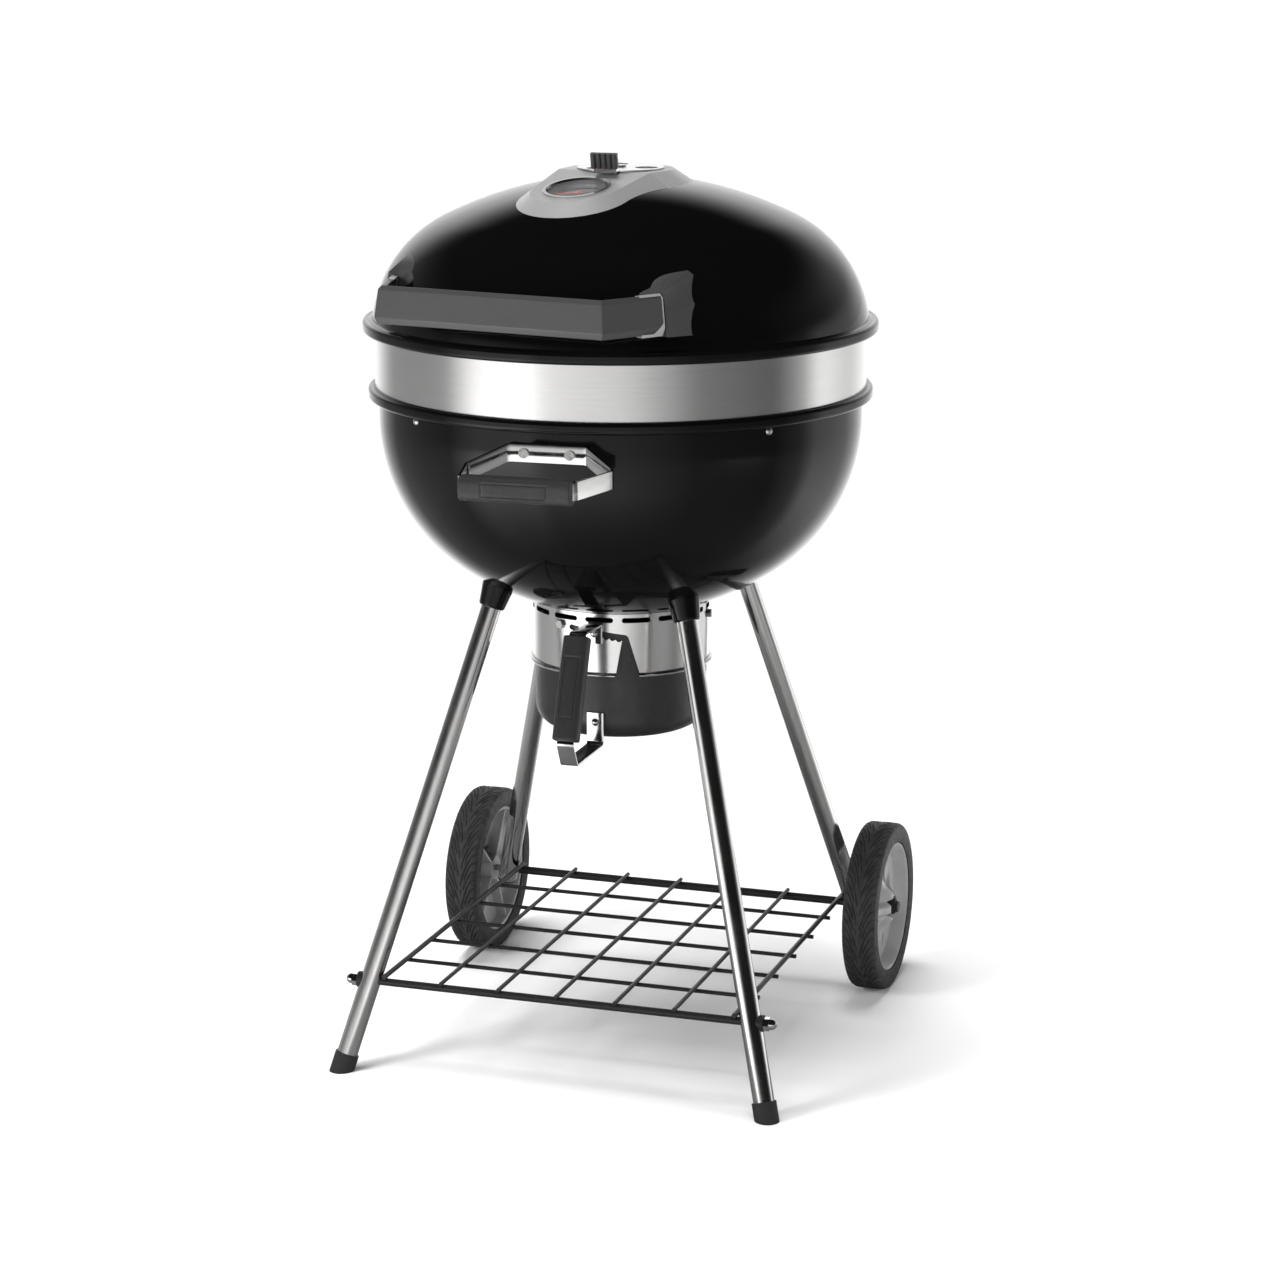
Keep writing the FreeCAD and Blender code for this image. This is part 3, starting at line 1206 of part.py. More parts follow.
def cooking_grid():
    """Middle section with the hinge pins, and two side flaps that fold up on them."""
    split = size("grid_split")
    clearance = 1.2
    axis_height = size("grid_bottom") + size("grid_height")
    depth = 8.4
    pin_radius = 2.5
    middle = grid_section(-split + clearance, split - clearance)
    flaps = {1: grid_section(split + clearance, size("grid_radius") + 1)}
    pins = []
    stretches = ((-120, -100), (100, 120))
    for low, high in stretches:
        ends = (Vector(split, low - 7, axis_height), Vector(split, high + 7, axis_height))
        gap = box(Vector(split - 7, low - 0.5, 700), Vector(split + 7, high + 0.5, 900))
        middle = middle.cut(gap).cut(mirrored(gap))
        knuckle = rod(Vector(split, low + 0.4, axis_height), Vector(split, high - 0.4, axis_height), 4.4)
        bridge = box(Vector(split, low + 0.4, axis_height - depth),
                     Vector(split + 9, high - 0.4, axis_height))
        bore = rod(*ends, pin_radius + size("hub_clearance"))
        ears = []
        for first, last in ((low - 7.5, low - 0.5), (high + 0.5, high + 7.5)):
            ear = rod(Vector(split, first, axis_height), Vector(split, last, axis_height), 4.4)
            ears.append(ear.fuse(box(Vector(split - 6, first, axis_height - depth),
                                     Vector(split, last, axis_height))))
            clear = rod(Vector(split, first - 0.6, axis_height), Vector(split, last + 0.6, axis_height), 5.2)
            flaps[1] = flaps[1].cut(clear)
        pin = rod(*ends, pin_radius)
        for ear in ears:
            middle = middle.fuse(ear).fuse(mirrored(ear))
        middle = middle.cut(pin).cut(mirrored(pin))
        flaps[1] = flaps[1].fuse(knuckle.fuse(bridge)).cut(bore)
        pins += [pin, mirrored(pin)]
    flaps[-1] = mirrored(flaps[1])
    feature("cooking_grid_middle", middle.removeSplitter())
    feature("cooking_grid_flap_right", flaps[1])
    feature("cooking_grid_flap_left", flaps[-1])
    group("cooking_grid_pins", pins)


def charcoal_grate():
    """Round wire grate low in the bowl."""
    radius, level, wire = size("coal_grate_radius"), size("coal_grate_height"), 3
    ring = Part.makeTorus(radius, wire, Vector(0, 0, level))
    grate = ring
    pitch = 24
    count = int(radius // pitch)
    for i in range(-count, count + 1):
        x = i * pitch
        reach = math.sqrt(radius ** 2 - x ** 2)
        grate = grate.fuse(rod(Vector(x, -reach, level), Vector(x, reach, level), 2.6))
    for y in (-110, 110):
        reach = math.sqrt(radius ** 2 - y ** 2) - 8
        grate = grate.fuse(rod(Vector(-reach, y, level - 4.6), Vector(reach, y, level - 4.6), 2.6))
    feature("charcoal_grate", grate)


# ---------------------------------------------------------------- build and write

def build():
    bowl()
    steel_band()
    lid_shell()
    lid_handle()
    vent_housing()
    thermometer()
    damper()
    lid_hinge()
    ash_shroud()
    ash_pot()
    ash_handle()
    shroud_bolts()
    bowl_handle()
    for corner, sides in LEG_SIDES.items():
        leg(f"leg_{corner}", sides)
    leg_sockets()
    leg_bolts()
    foot_caps()
    rear_plugs()
    axle()
    wheel("left", -1)
    wheel("right", 1)
    axle_nuts()
    shelf()
    grid_brackets()
    cooking_grid()
    charcoal_grate()


def write():
    """Check every object, and write each piece to its own file."""
    doc.recompute()
    faults = [thing.Name for thing in doc.Objects
              if "Invalid" in thing.State or "Error" in thing.State]
    for node in nodes:
        if node.Shape.isNull() or not node.Shape.isValid() or not node.Shape.Solids:
            faults.append(node.Label)
    assert not faults, f"these failed: {faults}"
    assert len({node.Label for node in nodes}) == len(nodes)
    os.makedirs("parts", exist_ok=True)
    for node in nodes:
        node.Shape.exportStep(f"parts/{node.Label}.step")
    print(len(nodes), "pieces")


build()
write()
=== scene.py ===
"""Looks of the kettle charcoal grill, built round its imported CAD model.

Metres, +Z up, the front is -Y. The kettle's own axis stands behind the origin at y = AXIS_Y.
Lengths in the shape functions are millimetres, measured from the kettle's axis and the ground.
"""

import json
import math

import bmesh
import bpy
from mathutils import Matrix, Vector


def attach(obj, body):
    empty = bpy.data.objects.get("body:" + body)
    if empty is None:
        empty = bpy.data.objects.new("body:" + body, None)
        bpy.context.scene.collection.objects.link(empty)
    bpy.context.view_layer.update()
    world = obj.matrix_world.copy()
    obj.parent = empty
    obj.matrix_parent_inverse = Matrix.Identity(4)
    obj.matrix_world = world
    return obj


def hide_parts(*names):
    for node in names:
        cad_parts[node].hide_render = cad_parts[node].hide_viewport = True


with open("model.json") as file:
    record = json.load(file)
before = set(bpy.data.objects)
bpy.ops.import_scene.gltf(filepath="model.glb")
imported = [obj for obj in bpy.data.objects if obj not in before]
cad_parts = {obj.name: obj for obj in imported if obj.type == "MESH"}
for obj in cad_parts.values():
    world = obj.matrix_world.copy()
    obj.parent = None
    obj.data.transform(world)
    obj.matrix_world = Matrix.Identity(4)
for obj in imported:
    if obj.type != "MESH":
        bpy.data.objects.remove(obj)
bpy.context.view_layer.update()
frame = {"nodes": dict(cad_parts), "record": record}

AXIS_Y = 0.033
MM = 0.001
UP = Vector((0, 0, 1))


# ---------------------------------------------------------------- geometry helpers

def polar(radius, degrees, height=0.0):
    """A point at an angle from the front, counted towards +X."""
    angle = math.radians(degrees)
    return Vector((radius * math.sin(angle), -radius * math.cos(angle), height))


def add_object(name, vertices, faces, body, slot_name, turn=0.0, sharp=30, covers=(), material=None):
    """A mesh piece from points in millimetres round the kettle's axis, turned about it.

    Its material is the slot's finish, unless another one is given."""
    mesh = bpy.data.meshes.new(name)
    spin = Matrix.Rotation(math.radians(turn), 3, "Z")
    shift = Vector((0, AXIS_Y, 0))
    mesh.from_pydata([spin @ Vector(v) * MM + shift for v in vertices], [], faces)
    builder = bmesh.new()
    builder.from_mesh(mesh)
    bmesh.ops.recalc_face_normals(builder, faces=builder.faces)
    builder.to_mesh(mesh)
    builder.free()
    mesh.polygons.foreach_set("use_smooth", [True] * len(mesh.polygons))
    mesh.set_sharp_from_angle(angle=math.radians(sharp))
    thing = bpy.data.objects.new(name, mesh)
    bpy.context.scene.collection.objects.link(thing)
    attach(thing, body)
    mesh.materials.append(material or finish_for(slot_name))
    if covers:
        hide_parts(*covers)
    return thing


def soften(thing, width):
    """Round the piece's sharper edges by `width` millimetres."""
    bevel = thing.modifiers.new("edges", "BEVEL")
    bevel.width = width * MM
    bevel.segments = 3
    bevel.limit_method = "ANGLE"
    bevel.angle_limit = math.radians(25)
    bevel.harden_normals = False
    return thing


def grid_faces(rows, columns, closed_rows=False, closed_columns=False):
    """Quads of a grid whose point (i, j) has the index i * columns + j."""
    faces = []
    for i in range(rows if closed_rows else rows - 1):
        for j in range(columns if closed_columns else columns - 1):
            k, m = (i + 1) % rows, (j + 1) % columns
            faces.append((i * columns + j, i * columns + m, k * columns + m, k * columns + j))
    return faces


def arc_points(centre, radius, start, end, steps):
    """Points of an arc, with its angles in degrees from the outward direction."""
    points = []
    for k in range(steps + 1):
        angle = math.radians(start + (end - start) * k / steps)
        points.append((centre[0] + radius * math.cos(angle), centre[1] + radius * math.sin(angle)))
    return points


def lathe(name, outline, body, slot_name, turn=0.0, covers=()):
    """A closed outline of (radius, height) points turned about the kettle's axis."""
    segments = 256
    vertices = [polar(r, 360 * i / segments, z) for i in range(segments) for r, z in outline]
    faces = grid_faces(segments, len(outline), closed_rows=True, closed_columns=True)
    return add_object(name, vertices, faces, body, slot_name, turn, covers=covers)


def rounded_path(points, radius, steps=8):
    """The corners of a path replaced by short curves."""
    path = [points[0]]
    for before, corner, after in zip(points, points[1:], points[2:]):
        into, out = (before - corner).normalized(), (after - corner).normalized()
        reach = radius / math.tan(into.angle(out) / 2)
        reach = min(reach, 0.45 * (before - corner).length, 0.45 * (after - corner).length)
        start, end = corner + into * reach, corner + out * reach
        for k in range(steps + 1):
            t = k / steps
            path.append(start * (1 - t) ** 2 + corner * 2 * t * (1 - t) + end * t ** 2)
    return path + [points[-1]]


def strap(name, points, across, thickness, width, bend, body, slot_name, turn, covers=()):
    """A flat strap of polished steel with slightly rounded edges, bent along a path."""
    path = rounded_path(points, bend)
    edge = 0.45  # how far the long edges are rounded
    section = []
    for sx, sy, first in ((1, 1, 0), (-1, 1, 90), (-1, -1, 180), (1, -1, 270)):
        for k in range(3):
            angle = math.radians(first + 45 * k)
            section.append((sx * (thickness / 2 - edge) + edge * math.cos(angle),
                            sy * (width / 2 - edge) + edge * math.sin(angle)))
    vertices = []
    for i, point in enumerate(path):
        into = (point - path[i - 1]) if i else (path[1] - point)
        out = (path[i + 1] - point) if i + 1 < len(path) else into
        along = (into.normalized() + out.normalized()).normalized()
        normal = along.cross(across).normalized()
        stretch = 1 / max(math.cos(into.angle(out) / 2), 0.5)
        vertices += [point + normal * (x * stretch) + across * y for x, y in section]
    count = len(section)
    faces = grid_faces(len(path), count, closed_columns=True)
    faces += [tuple(range(count)), tuple(range(len(vertices) - count, len(vertices)))]
    return add_object(name, vertices, faces, body, slot_name, turn, 40, covers,
                      finish_for("polished_steel"))


def soft_prism(name, rings, body, slot_name, turn, bevel, covers=()):
    """A closed piece with rounded edges, through rings that have equally many points."""
    count = len(rings[0])
    vertices = [point for ring in rings for point in ring]
    faces = grid_faces(len(rings), count, closed_columns=True)
    faces += [tuple(range(count)), tuple(range(len(vertices) - count, len(vertices)))]
    return soften(add_object(name, vertices, faces, body, slot_name, turn, covers=covers), bevel)


def smooth_step(t):
    """0 below 0 and 1 above 1, with a soft change between them."""
    t = min(max(t, 0.0), 1.0)
    return t * t * (3 - 2 * t)


# ---------------------------------------------------------------- materials

class Surface:
    """A procedural material round one Principled shader."""

    def __init__(self, name, color, metallic, roughness, specular=0.5):
        self.material = bpy.data.materials.new(name)
        self.material.use_nodes = True
        self.nodes = self.material.node_tree.nodes
        self.links = self.material.node_tree.links
        self.shader = self.nodes["Principled BSDF"]
        self.set("Base Color", (*color, 1))
        self.set("Metallic", metallic)
        self.set("Roughness", roughness)
        self.set("Specular IOR Level", specular)
        self.color = color
        self.roughness = roughness
        self.place = self.add("ShaderNodeTexCoord").outputs["Object"]

    def set(self, socket, value):
        self.shader.inputs[socket].default_value = value

    def add(self, kind, **settings):
        node = self.nodes.new(kind)
        for key, value in settings.items():
            setattr(node, key, value)
        return node

    def noise(self, scale, detail=4, stretch=(1, 1, 1)):
        """Noise in object space. A small stretch on an axis makes grain run along that axis."""
        mapping = self.add("ShaderNodeMapping")
        mapping.inputs["Scale"].default_value = stretch
        self.links.new(self.place, mapping.inputs["Vector"])
        noise = self.add("ShaderNodeTexNoise")
        noise.inputs["Scale"].default_value = scale
        noise.inputs["Detail"].default_value = detail
        self.links.new(mapping.outputs["Vector"], noise.inputs["Vector"])
        return noise.outputs["Fac"]

    def ramp(self, source, low, high):
        """Noise spread from `low` to `high`. Most of it lies between 0.35 and 0.65."""
        node = self.add("ShaderNodeMapRange")
        node.inputs["From Min"].default_value = 0.35
        node.inputs["From Max"].default_value = 0.65
        node.inputs["To Min"].default_value = low
        node.inputs["To Max"].default_value = high
        self.links.new(source, node.inputs["Value"])
        return node.outputs["Result"]

    def vary_roughness(self, source, spread):
        """Roughness that wanders by `spread` each way."""
        self.links.new(self.ramp(source, self.roughness - spread, self.roughness + spread),
                       self.shader.inputs["Roughness"])
        return self

    def vary_color(self, source, share):
        """Colour that wanders by a share of itself each way."""
        low = [max(c * (1 - share), 0) for c in self.color]
        high = [min(c * (1 + share), 1) for c in self.color]
        node = self.add("ShaderNodeMix", data_type="RGBA")
        node.inputs["A"].default_value = (*low, 1)
        node.inputs["B"].default_value = (*high, 1)
        self.links.new(self.ramp(source, 0, 1), node.inputs["Factor"])
        self.links.new(node.outputs["Result"], self.shader.inputs["Base Color"])
        return self

    def bump(self, source, strength, distance):
        node = self.add("ShaderNodeBump")
        node.inputs["Strength"].default_value = strength
        node.inputs["Distance"].default_value = distance
        self.links.new(source, node.inputs["Height"])
        self.links.new(node.outputs["Normal"], self.shader.inputs["Normal"])
        return self


def enamel():
    surface = Surface("enamel", (0.0022, 0.0022, 0.0024), 0.0, 0.07, specular=0.22)
    surface.vary_roughness(surface.noise(9, 3), 0.02)
    return surface.bump(surface.noise(160, 2), 0.02, 0.0002).material


def stainless():
    surface = Surface("stainless", (0.66, 0.655, 0.65), 1.0, 0.21)
    grain = surface.noise(900, 3, (0.02, 0.02, 1))
    surface.vary_roughness(grain, 0.015)
    surface.vary_color(surface.noise(420, 4, (0.03, 0.03, 1)), 0.02)
    return surface.bump(grain, 0.004, 0.00002).material


def polished_steel():
    surface = Surface("polished_steel", (0.60, 0.595, 0.59), 1.0, 0.12)
    surface.vary_roughness(surface.noise(60, 3), 0.03)
    surface.vary_color(surface.noise(300, 3), 0.03)
    return surface.bump(surface.noise(500, 2), 0.01, 0.00005).material


def silver():
    surface = Surface("silver", (0.36, 0.36, 0.36), 0.35, 0.38)
    surface.vary_roughness(surface.noise(60, 4), 0.04)
    surface.vary_color(surface.noise(1500, 2), 0.06)
    return surface.bump(surface.noise(2600, 2), 0.10, 0.00005).material


def handle_plastic():
    surface = Surface("handle_plastic", (0.040, 0.040, 0.041), 0.0, 0.36, specular=0.5)
    surface.vary_roughness(surface.noise(40, 3), 0.04)
    surface.vary_color(surface.noise(900, 2), 0.12)
    return surface.bump(surface.noise(1800, 3), 0.12, 0.0001).material


def grip_rubber():
    surface = Surface("grip_rubber", (0.021, 0.021, 0.022), 0.0, 0.52, specular=0.4)
    surface.vary_roughness(surface.noise(50, 4), 0.07)
    surface.vary_color(surface.noise(700, 3), 0.18)
    return surface.bump(surface.noise(1400, 4), 0.22, 0.00015).material


def chrome():
    surface = Surface("chrome", (0.80, 0.79, 0.78), 1.0, 0.14)
    surface.vary_roughness(surface.noise(30, 4, (1, 1, 0.2)), 0.03)
    surface.vary_color(surface.noise(220, 3, (1, 1, 0.05)), 0.04)
    return surface.bump(surface.noise(500, 2, (1, 1, 0.04)), 0.03, 0.00005).material


def zinc():
    surface = Surface("zinc", (0.55, 0.55, 0.54), 1.0, 0.34)
    surface.vary_color(surface.noise(260, 4), 0.12)
    surface.vary_roughness(surface.noise(120, 3), 0.08)
    return surface.bump(surface.noise(900, 2), 0.06, 0.00005).material


def black_steel():
    surface = Surface("black_steel", (0.014, 0.014, 0.015), 0.0, 0.40, specular=0.5)
    surface.vary_roughness(surface.noise(35, 3), 0.06)
    surface.vary_color(surface.noise(300, 3), 0.15)
    return surface.bump(surface.noise(700, 2), 0.10, 0.0001).material


def tyre_rubber():
    surface = Surface("tyre", (0.030, 0.030, 0.0305), 0.0, 0.55, specular=0.4)
    surface.vary_color(surface.noise(90, 5), 0.22)
    surface.vary_roughness(surface.noise(140, 3), 0.08)
    return surface.bump(surface.noise(1600, 3), 0.20, 0.0001).material


def hub_plastic():
    surface = Surface("hub_plastic", (0.42, 0.42, 0.425), 0.35, 0.34)
    surface.vary_color(surface.noise(40, 3), 0.06)
    surface.vary_roughness(surface.noise(160, 3), 0.05)
    return surface.bump(surface.noise(1200, 3), 0.08, 0.0001).material


def cast_iron():
    surface = Surface("cast_iron", (0.022, 0.021, 0.020), 0.3, 0.58)
    surface.vary_color(surface.noise(150, 5), 0.35)
    surface.vary_roughness(surface.noise(60, 4), 0.12)
    return surface.bump(surface.noise(700, 5), 0.45, 0.0003).material


def plain_steel():
    surface = Surface("plain_steel", (0.30, 0.29, 0.275), 1.0, 0.42)
    surface.vary_color(surface.noise(60, 5), 0.25)
    surface.vary_roughness(surface.noise(80, 4), 0.1)
    return surface.bump(surface.noise(600, 3), 0.15, 0.0001).material


def gauge_glass():
    surface = Surface("gauge_glass", (0.95, 0.97, 0.97), 0.0, 0.03, specular=0.15)
    surface.set("Alpha", 0.05)
    return surface.bump(surface.noise(40, 2), 0.02, 0.00005).material


def gauge_dial():
    surface = Surface("gauge_dial", (0.010, 0.010, 0.011), 0.0, 0.6, specular=0.1)
    surface.vary_color(surface.noise(400, 2), 0.2)
    return surface.bump(surface.noise(900, 2), 0.05, 0.00005).material


def paint(name, color):
    """Matt paint, for the gauge's marks and needle."""
    surface = Surface(name, color, 0.0, 0.6, specular=0.1)
    surface.vary_color(surface.noise(500, 2), 0.08)
    return surface.bump(surface.noise(900, 2), 0.05, 0.00005).material


def gauge_needle():
    return paint("gauge_needle", (0.60, 0.05, 0.03))


FINISHES = {
    "enamel": enamel,
    "stainless": stainless,
    "polished_steel": polished_steel,
    "silver": silver,
    "handle_plastic": handle_plastic,
    "grip_rubber": grip_rubber,
    "chrome": chrome,
    "zinc": zinc,
    "black_steel": black_steel,
    "tyre": tyre_rubber,
    "hub_plastic": hub_plastic,
    "cast_iron": cast_iron,
    "plain_steel": plain_steel,
    "gauge_glass": gauge_glass,
    "gauge_dial": gauge_dial,
    "gauge_needle": gauge_needle,
}
made_finishes = {}


def finish_for(slot_name):
    """One material for each finish, made when it is first needed."""
    if slot_name not in made_finishes:
        made_finishes[slot_name] = FINISHES[slot_name]()
    return made_finishes[slot_name]


def dress_cad_nodes():
    """Give every CAD node the finish that the record names for it."""
    for entry in frame["record"]["subparts"]:
        node = frame["nodes"][entry["node"]]
        node.data.materials.clear()
        node.data.materials.append(finish_for(entry["material_slot"]))


# ---------------------------------------------------------------- kettle

LID_TURN = -9.5  # the lid stands this far round on the bowl
WALL = 2


def bowl():
    """Enamelled bowl: crown and side arcs, flat ledge and rolled rim, as smooth surfaces."""
    crown, crown_radius = (0, 843), 331
    side, side_radius = (65.2, 745.7), 213.8
    meet = -56.19
    hole_outside, hole_inside = -73.84, -73.75
    outer = arc_points(crown, crown_radius, hole_outside, meet, 24)[:-1]
    outer += arc_points(side, side_radius, meet, 0, 48)
    inner = arc_points(side, side_radius - WALL, 0, meet, 48)
    inner += arc_points(crown, crown_radius - WALL, meet, hole_inside, 24)[1:]
    bead, bead_radius = 287.1, 4
    rim = [(279, 768.5), (282.8, 768.3)]
    rim += arc_points((bead, 771), bead_radius, -110, 0, 8)
    rim += arc_points((bead, 776), bead_radius, 0, 110, 8)
    rim += [(284.4, 779), (281, 777.2), (277, 777.2)]
    lathe("bowl_enamel", outer + rim + inner, "kettle_and_legs", "enamel", covers=["bowl"])


def lid():
    """Enamelled dome with its rolled rim.

    It has no holes for the vents and the gauge, so it hides the gauge's dial and its marks."""
    side, side_radius = (136.2, 837.1), 150.6
    crown, crown_radius = (0, 556), 463
    meet = 64.13
    outer = arc_points(side, side_radius, 8, meet, 40)[:-1]
    outer += arc_points(crown, crown_radius, meet, 90, 40)
    inner = arc_points(crown, crown_radius - WALL, 90, meet, 40)[:-1]
    inner += arc_points(side, side_radius - WALL, meet, 7, 40)
    bead, bead_radius = 292.3, 4.3
    rim = [(287.9, 854.4)]
    rim += arc_points((bead, 847.5), bead_radius, 180, 360, 14)
    rim += arc_points((bead, 852.6), bead_radius, 0, 120, 8)
    rim += [(287, 857.4)]
    lathe("lid_enamel", rim + outer + inner, "lid", "enamel", LID_TURN, covers=["lid_shell"])


def band():
    """Stainless band with its upper edge rolled outwards."""
    outline = [(281.3, 777.2), (283, 777.2), (283, 852.2), (286, 852.5), (286.5, 853.3),
               (286, 854.2), (282, 854.2), (281.3, 853.6)]
    lathe("band_steel", outline, "kettle_and_legs", "stainless", covers=["steel_band"])


# ---------------------------------------------------------------- lid handle

BAR_FRONT = 302
BAR_HALF = 138.5
BAR_END = Vector((170.5, -228, 0))
# (outwards from the front plane, height) of the bar's corners
BAR_SECTION = [(4, 883), (0, 914), (-4, 918), (-9, 917), (-6.5, 876), (1, 876)]


def lid_handle():
    """The faceted bar with softened edges."""
    corner = Vector((BAR_HALF, -BAR_FRONT, 0))
    facet = (BAR_END - corner).normalized()
    normal = Vector((-facet.y, facet.x, 0))
    normal = normal if normal.x > 0 else -normal
    mitre = Vector((math.tan(math.atan2(facet.y, facet.x) / 2), -1, 0))
    right = [[BAR_END + Vector((normal.x * out, normal.y * out, up)) for out, up in BAR_SECTION],
             [corner + Vector((mitre.x * out, mitre.y * out, up)) for out, up in BAR_SECTION]]
    left = [[Vector((-p.x, p.y, p.z)) for p in ring] for ring in reversed(right)]
    soft_prism("handle_bar_soft", right + left, "lid", "handle_plastic", LID_TURN, 1.0,
               covers=["lid_handle_bar"])


# ---------------------------------------------------------------- wheels

TREAD_PITCH = 22.0
TREAD_SWEEP = 46.0
TREAD_HALF = 18.5
TREAD_CURVE = 1.8
GROOVE_DEPTH = 1.5
TYRE_RADIUS = 103.5


def groove_depth(distance_round, across):
    """Depth of the tread's curved grooves, which run out from the middle in a V."""
    t = abs(across) / TREAD_HALF
    if t < 0.05 or t > 1.12:
        return 0.0
    reach = TREAD_SWEEP * (1 - (1 - min(t, 1)) ** TREAD_CURVE)
    offset = TREAD_PITCH / 2 if across > 0 else 0
    step = (distance_round - reach - offset) / TREAD_PITCH
    long_one = abs(step - round(step)) * TREAD_PITCH
    short_one = abs(step - 0.5 - round(step - 0.5)) * TREAD_PITCH if t > 0.36 else math.inf
    slope = TREAD_SWEEP * TREAD_CURVE * (1 - min(t, 1)) ** (TREAD_CURVE - 1) / TREAD_HALF
    near = min(long_one, short_one) / math.sqrt(1 + slope ** 2)
    fade = smooth_step((t - 0.05) / 0.08)
    return GROOVE_DEPTH * fade * (1 - smooth_step((near - 0.35) / 0.75))


def tyre_profile():
    """Half-width position and radius of the tyre's outer surface, from one bead to the other."""
    side = [(17.5, 79.6), (19.6, 80.2), (20.2, 82), (20.2, 84), (20.7, 85.5), (20.7, 97.2),
            (20.45, 99), (19.8, 100.6)]
    tread = []
    count = 40
    for k in range(count + 1):
        w = TREAD_HALF + 0.6 - (2 * TREAD_HALF + 1.2) * k / count
        drop = 0.35 * (w / TREAD_HALF) ** 2 + 1.6 * smooth_step((abs(w) - 15.5) / 4)
        tread.append((w, 103.45 - drop))
    return side + tread + [(-w, r) for w, r in reversed(side)]


def tyre_mesh():
    """The tyre about the X axis, with its tread cut in."""
    segments = 630
    sidewall_end = 100
    outline = tyre_profile()
    vertices = []
    for i in range(segments):
        angle = 2 * math.pi * i / segments
        for w, r in outline:
            radius = r - groove_depth(angle * TYRE_RADIUS, w) if r > sidewall_end else r
            vertices.append((w, -radius * math.cos(angle), radius * math.sin(angle)))
    return vertices, grid_faces(segments, len(outline), closed_rows=True, closed_columns=True)


SPOKES = 5
HUB_INNER = 14.5
HUB_OUTER = 73
HUB_RINGS = 41
HUB_THICKNESS = 3.0


def hub_height(r, angle):
    """Outward position of the hub's dished face, with five tapering ridges."""
    dish = 3.5 + 8.5 * smooth_step((30 - r) / 16) - 2.2 * smooth_step((r - 28) / 40)
    sector = (angle / (2 * math.pi) * SPOKES) % 1
    off_ridge = min(sector, 1 - sector) * 2 * math.pi / SPOKES * r
    half = 9.5 * (1 - smooth_step((r - 16) / 52)) + 1.2
    flank = smooth_step((off_ridge - half * 0.35) / (half * 0.65))
    return dish + 8 * smooth_step((64 - r) / 50) * (1 - flank)


def hub_mesh():
    """Dished disc with hollow ridges, as one closed shell about the X axis."""
    segments = 360
    radii = [HUB_INNER + (HUB_OUTER - HUB_INNER) * k / (HUB_RINGS - 1) for k in range(HUB_RINGS)]
    vertices = []
    for i in range(segments):
        angle = 2 * math.pi * i / segments
        front = [(r, hub_height(r, angle)) for r in radii]
        back = [(r, h - HUB_THICKNESS) for r, h in reversed(front)]
        for r, w in front + back:
            vertices.append((w, -r * math.cos(angle), r * math.sin(angle)))
    return vertices, grid_faces(segments, 2 * HUB_RINGS, closed_rows=True, closed_columns=True)


def about_x(outline, segments=180):
    """A closed outline of (width position, radius) turned about the X axis."""
    vertices = []
    for i in range(segments):
        angle = 2 * math.pi * i / segments
        vertices += [(w, -r * math.cos(angle), r * math.sin(angle)) for w, r in outline]
    return vertices, grid_faces(segments, len(outline), closed_rows=True, closed_columns=True)


WHEEL_X, WHEEL_Y, WHEEL_Z = 258.5, 231.7, TYRE_RADIUS


def hub_ribs_mesh():
    """Flat braces behind the hub's dish, midway between its ridges."""
    root, tip, half = (15.5, -9.5, 8), (74.5, -15.5, 0), 1.1
    vertices, faces = [], []
    for k in range(SPOKES):
        angle = 2 * math.pi * (k + 0.5) / SPOKES
        along = Vector((0, -math.cos(angle), math.sin(angle)))
        beside = Vector((0, math.sin(angle), math.cos(angle)))
        for r, low, high in (root, tip):
            for w, edge in ((low, -half), (high, -half), (high, half), (low, half)):
                vertices.append(tuple(along * r + beside * edge + Vector((w, 0, 0))))
        base = 8 * k
        faces += [(base + a, base + b, base + c, base + d) for a, b, c, d in
                  ((0, 1, 2, 3), (4, 5, 6, 7), (0, 1, 5, 4), (1, 2, 6, 5), (2, 3, 7, 6), (3, 0, 4, 7))]
    return vertices, faces


def wheel(side_name, side, tyre, hub):
    """Tyre and hub of one wheel. `side` is -1 on the left and +1 on the right."""
    rim = about_x([(17.2, 79.4), (18.6, 78.6), (18.6, 77.4), (15.5, 75.5), (3, 73.4), (0.5, 71),
                   (-2.5, 71), (-3, 73.5), (-17, 75.5), (-18.2, 77.5), (-17.2, 79.4)])
    boss = about_x([(13, 14.4), (12.2, 15.8), (8, 16.4), (2, 17), (-10, 16), (-11, 15), (-11, 4.2),
                    (6, 4.2), (6.5, 12.5), (13, 13.2)], 96)

    def add(name, shape, slot_name, sharp, covers=()):
        vertices = [(side * (x + WHEEL_X), y + WHEEL_Y, z + WHEEL_Z) for x, y, z in shape[0]]
        add_object(f"{name}_{side_name}", vertices, shape[1], f"wheel_{side_name}", slot_name, 0,
                   sharp, covers)

    add("tyre_tread", tyre, "tyre", 35, [f"tyre_{side_name}"])
    add("hub_face", hub, "hub_plastic", 40, [f"hub_{side_name}"])
    add("hub_rim", rim, "hub_plastic", 40)
    add("hub_boss", boss, "hub_plastic", 40)
    add("hub_ribs", hub_ribs_mesh(), "hub_plastic", 30)


# ---------------------------------------------------------------- handles of bowl and ash pot

HANDLE_TURN = 2.1
POT_TURN = 1.5


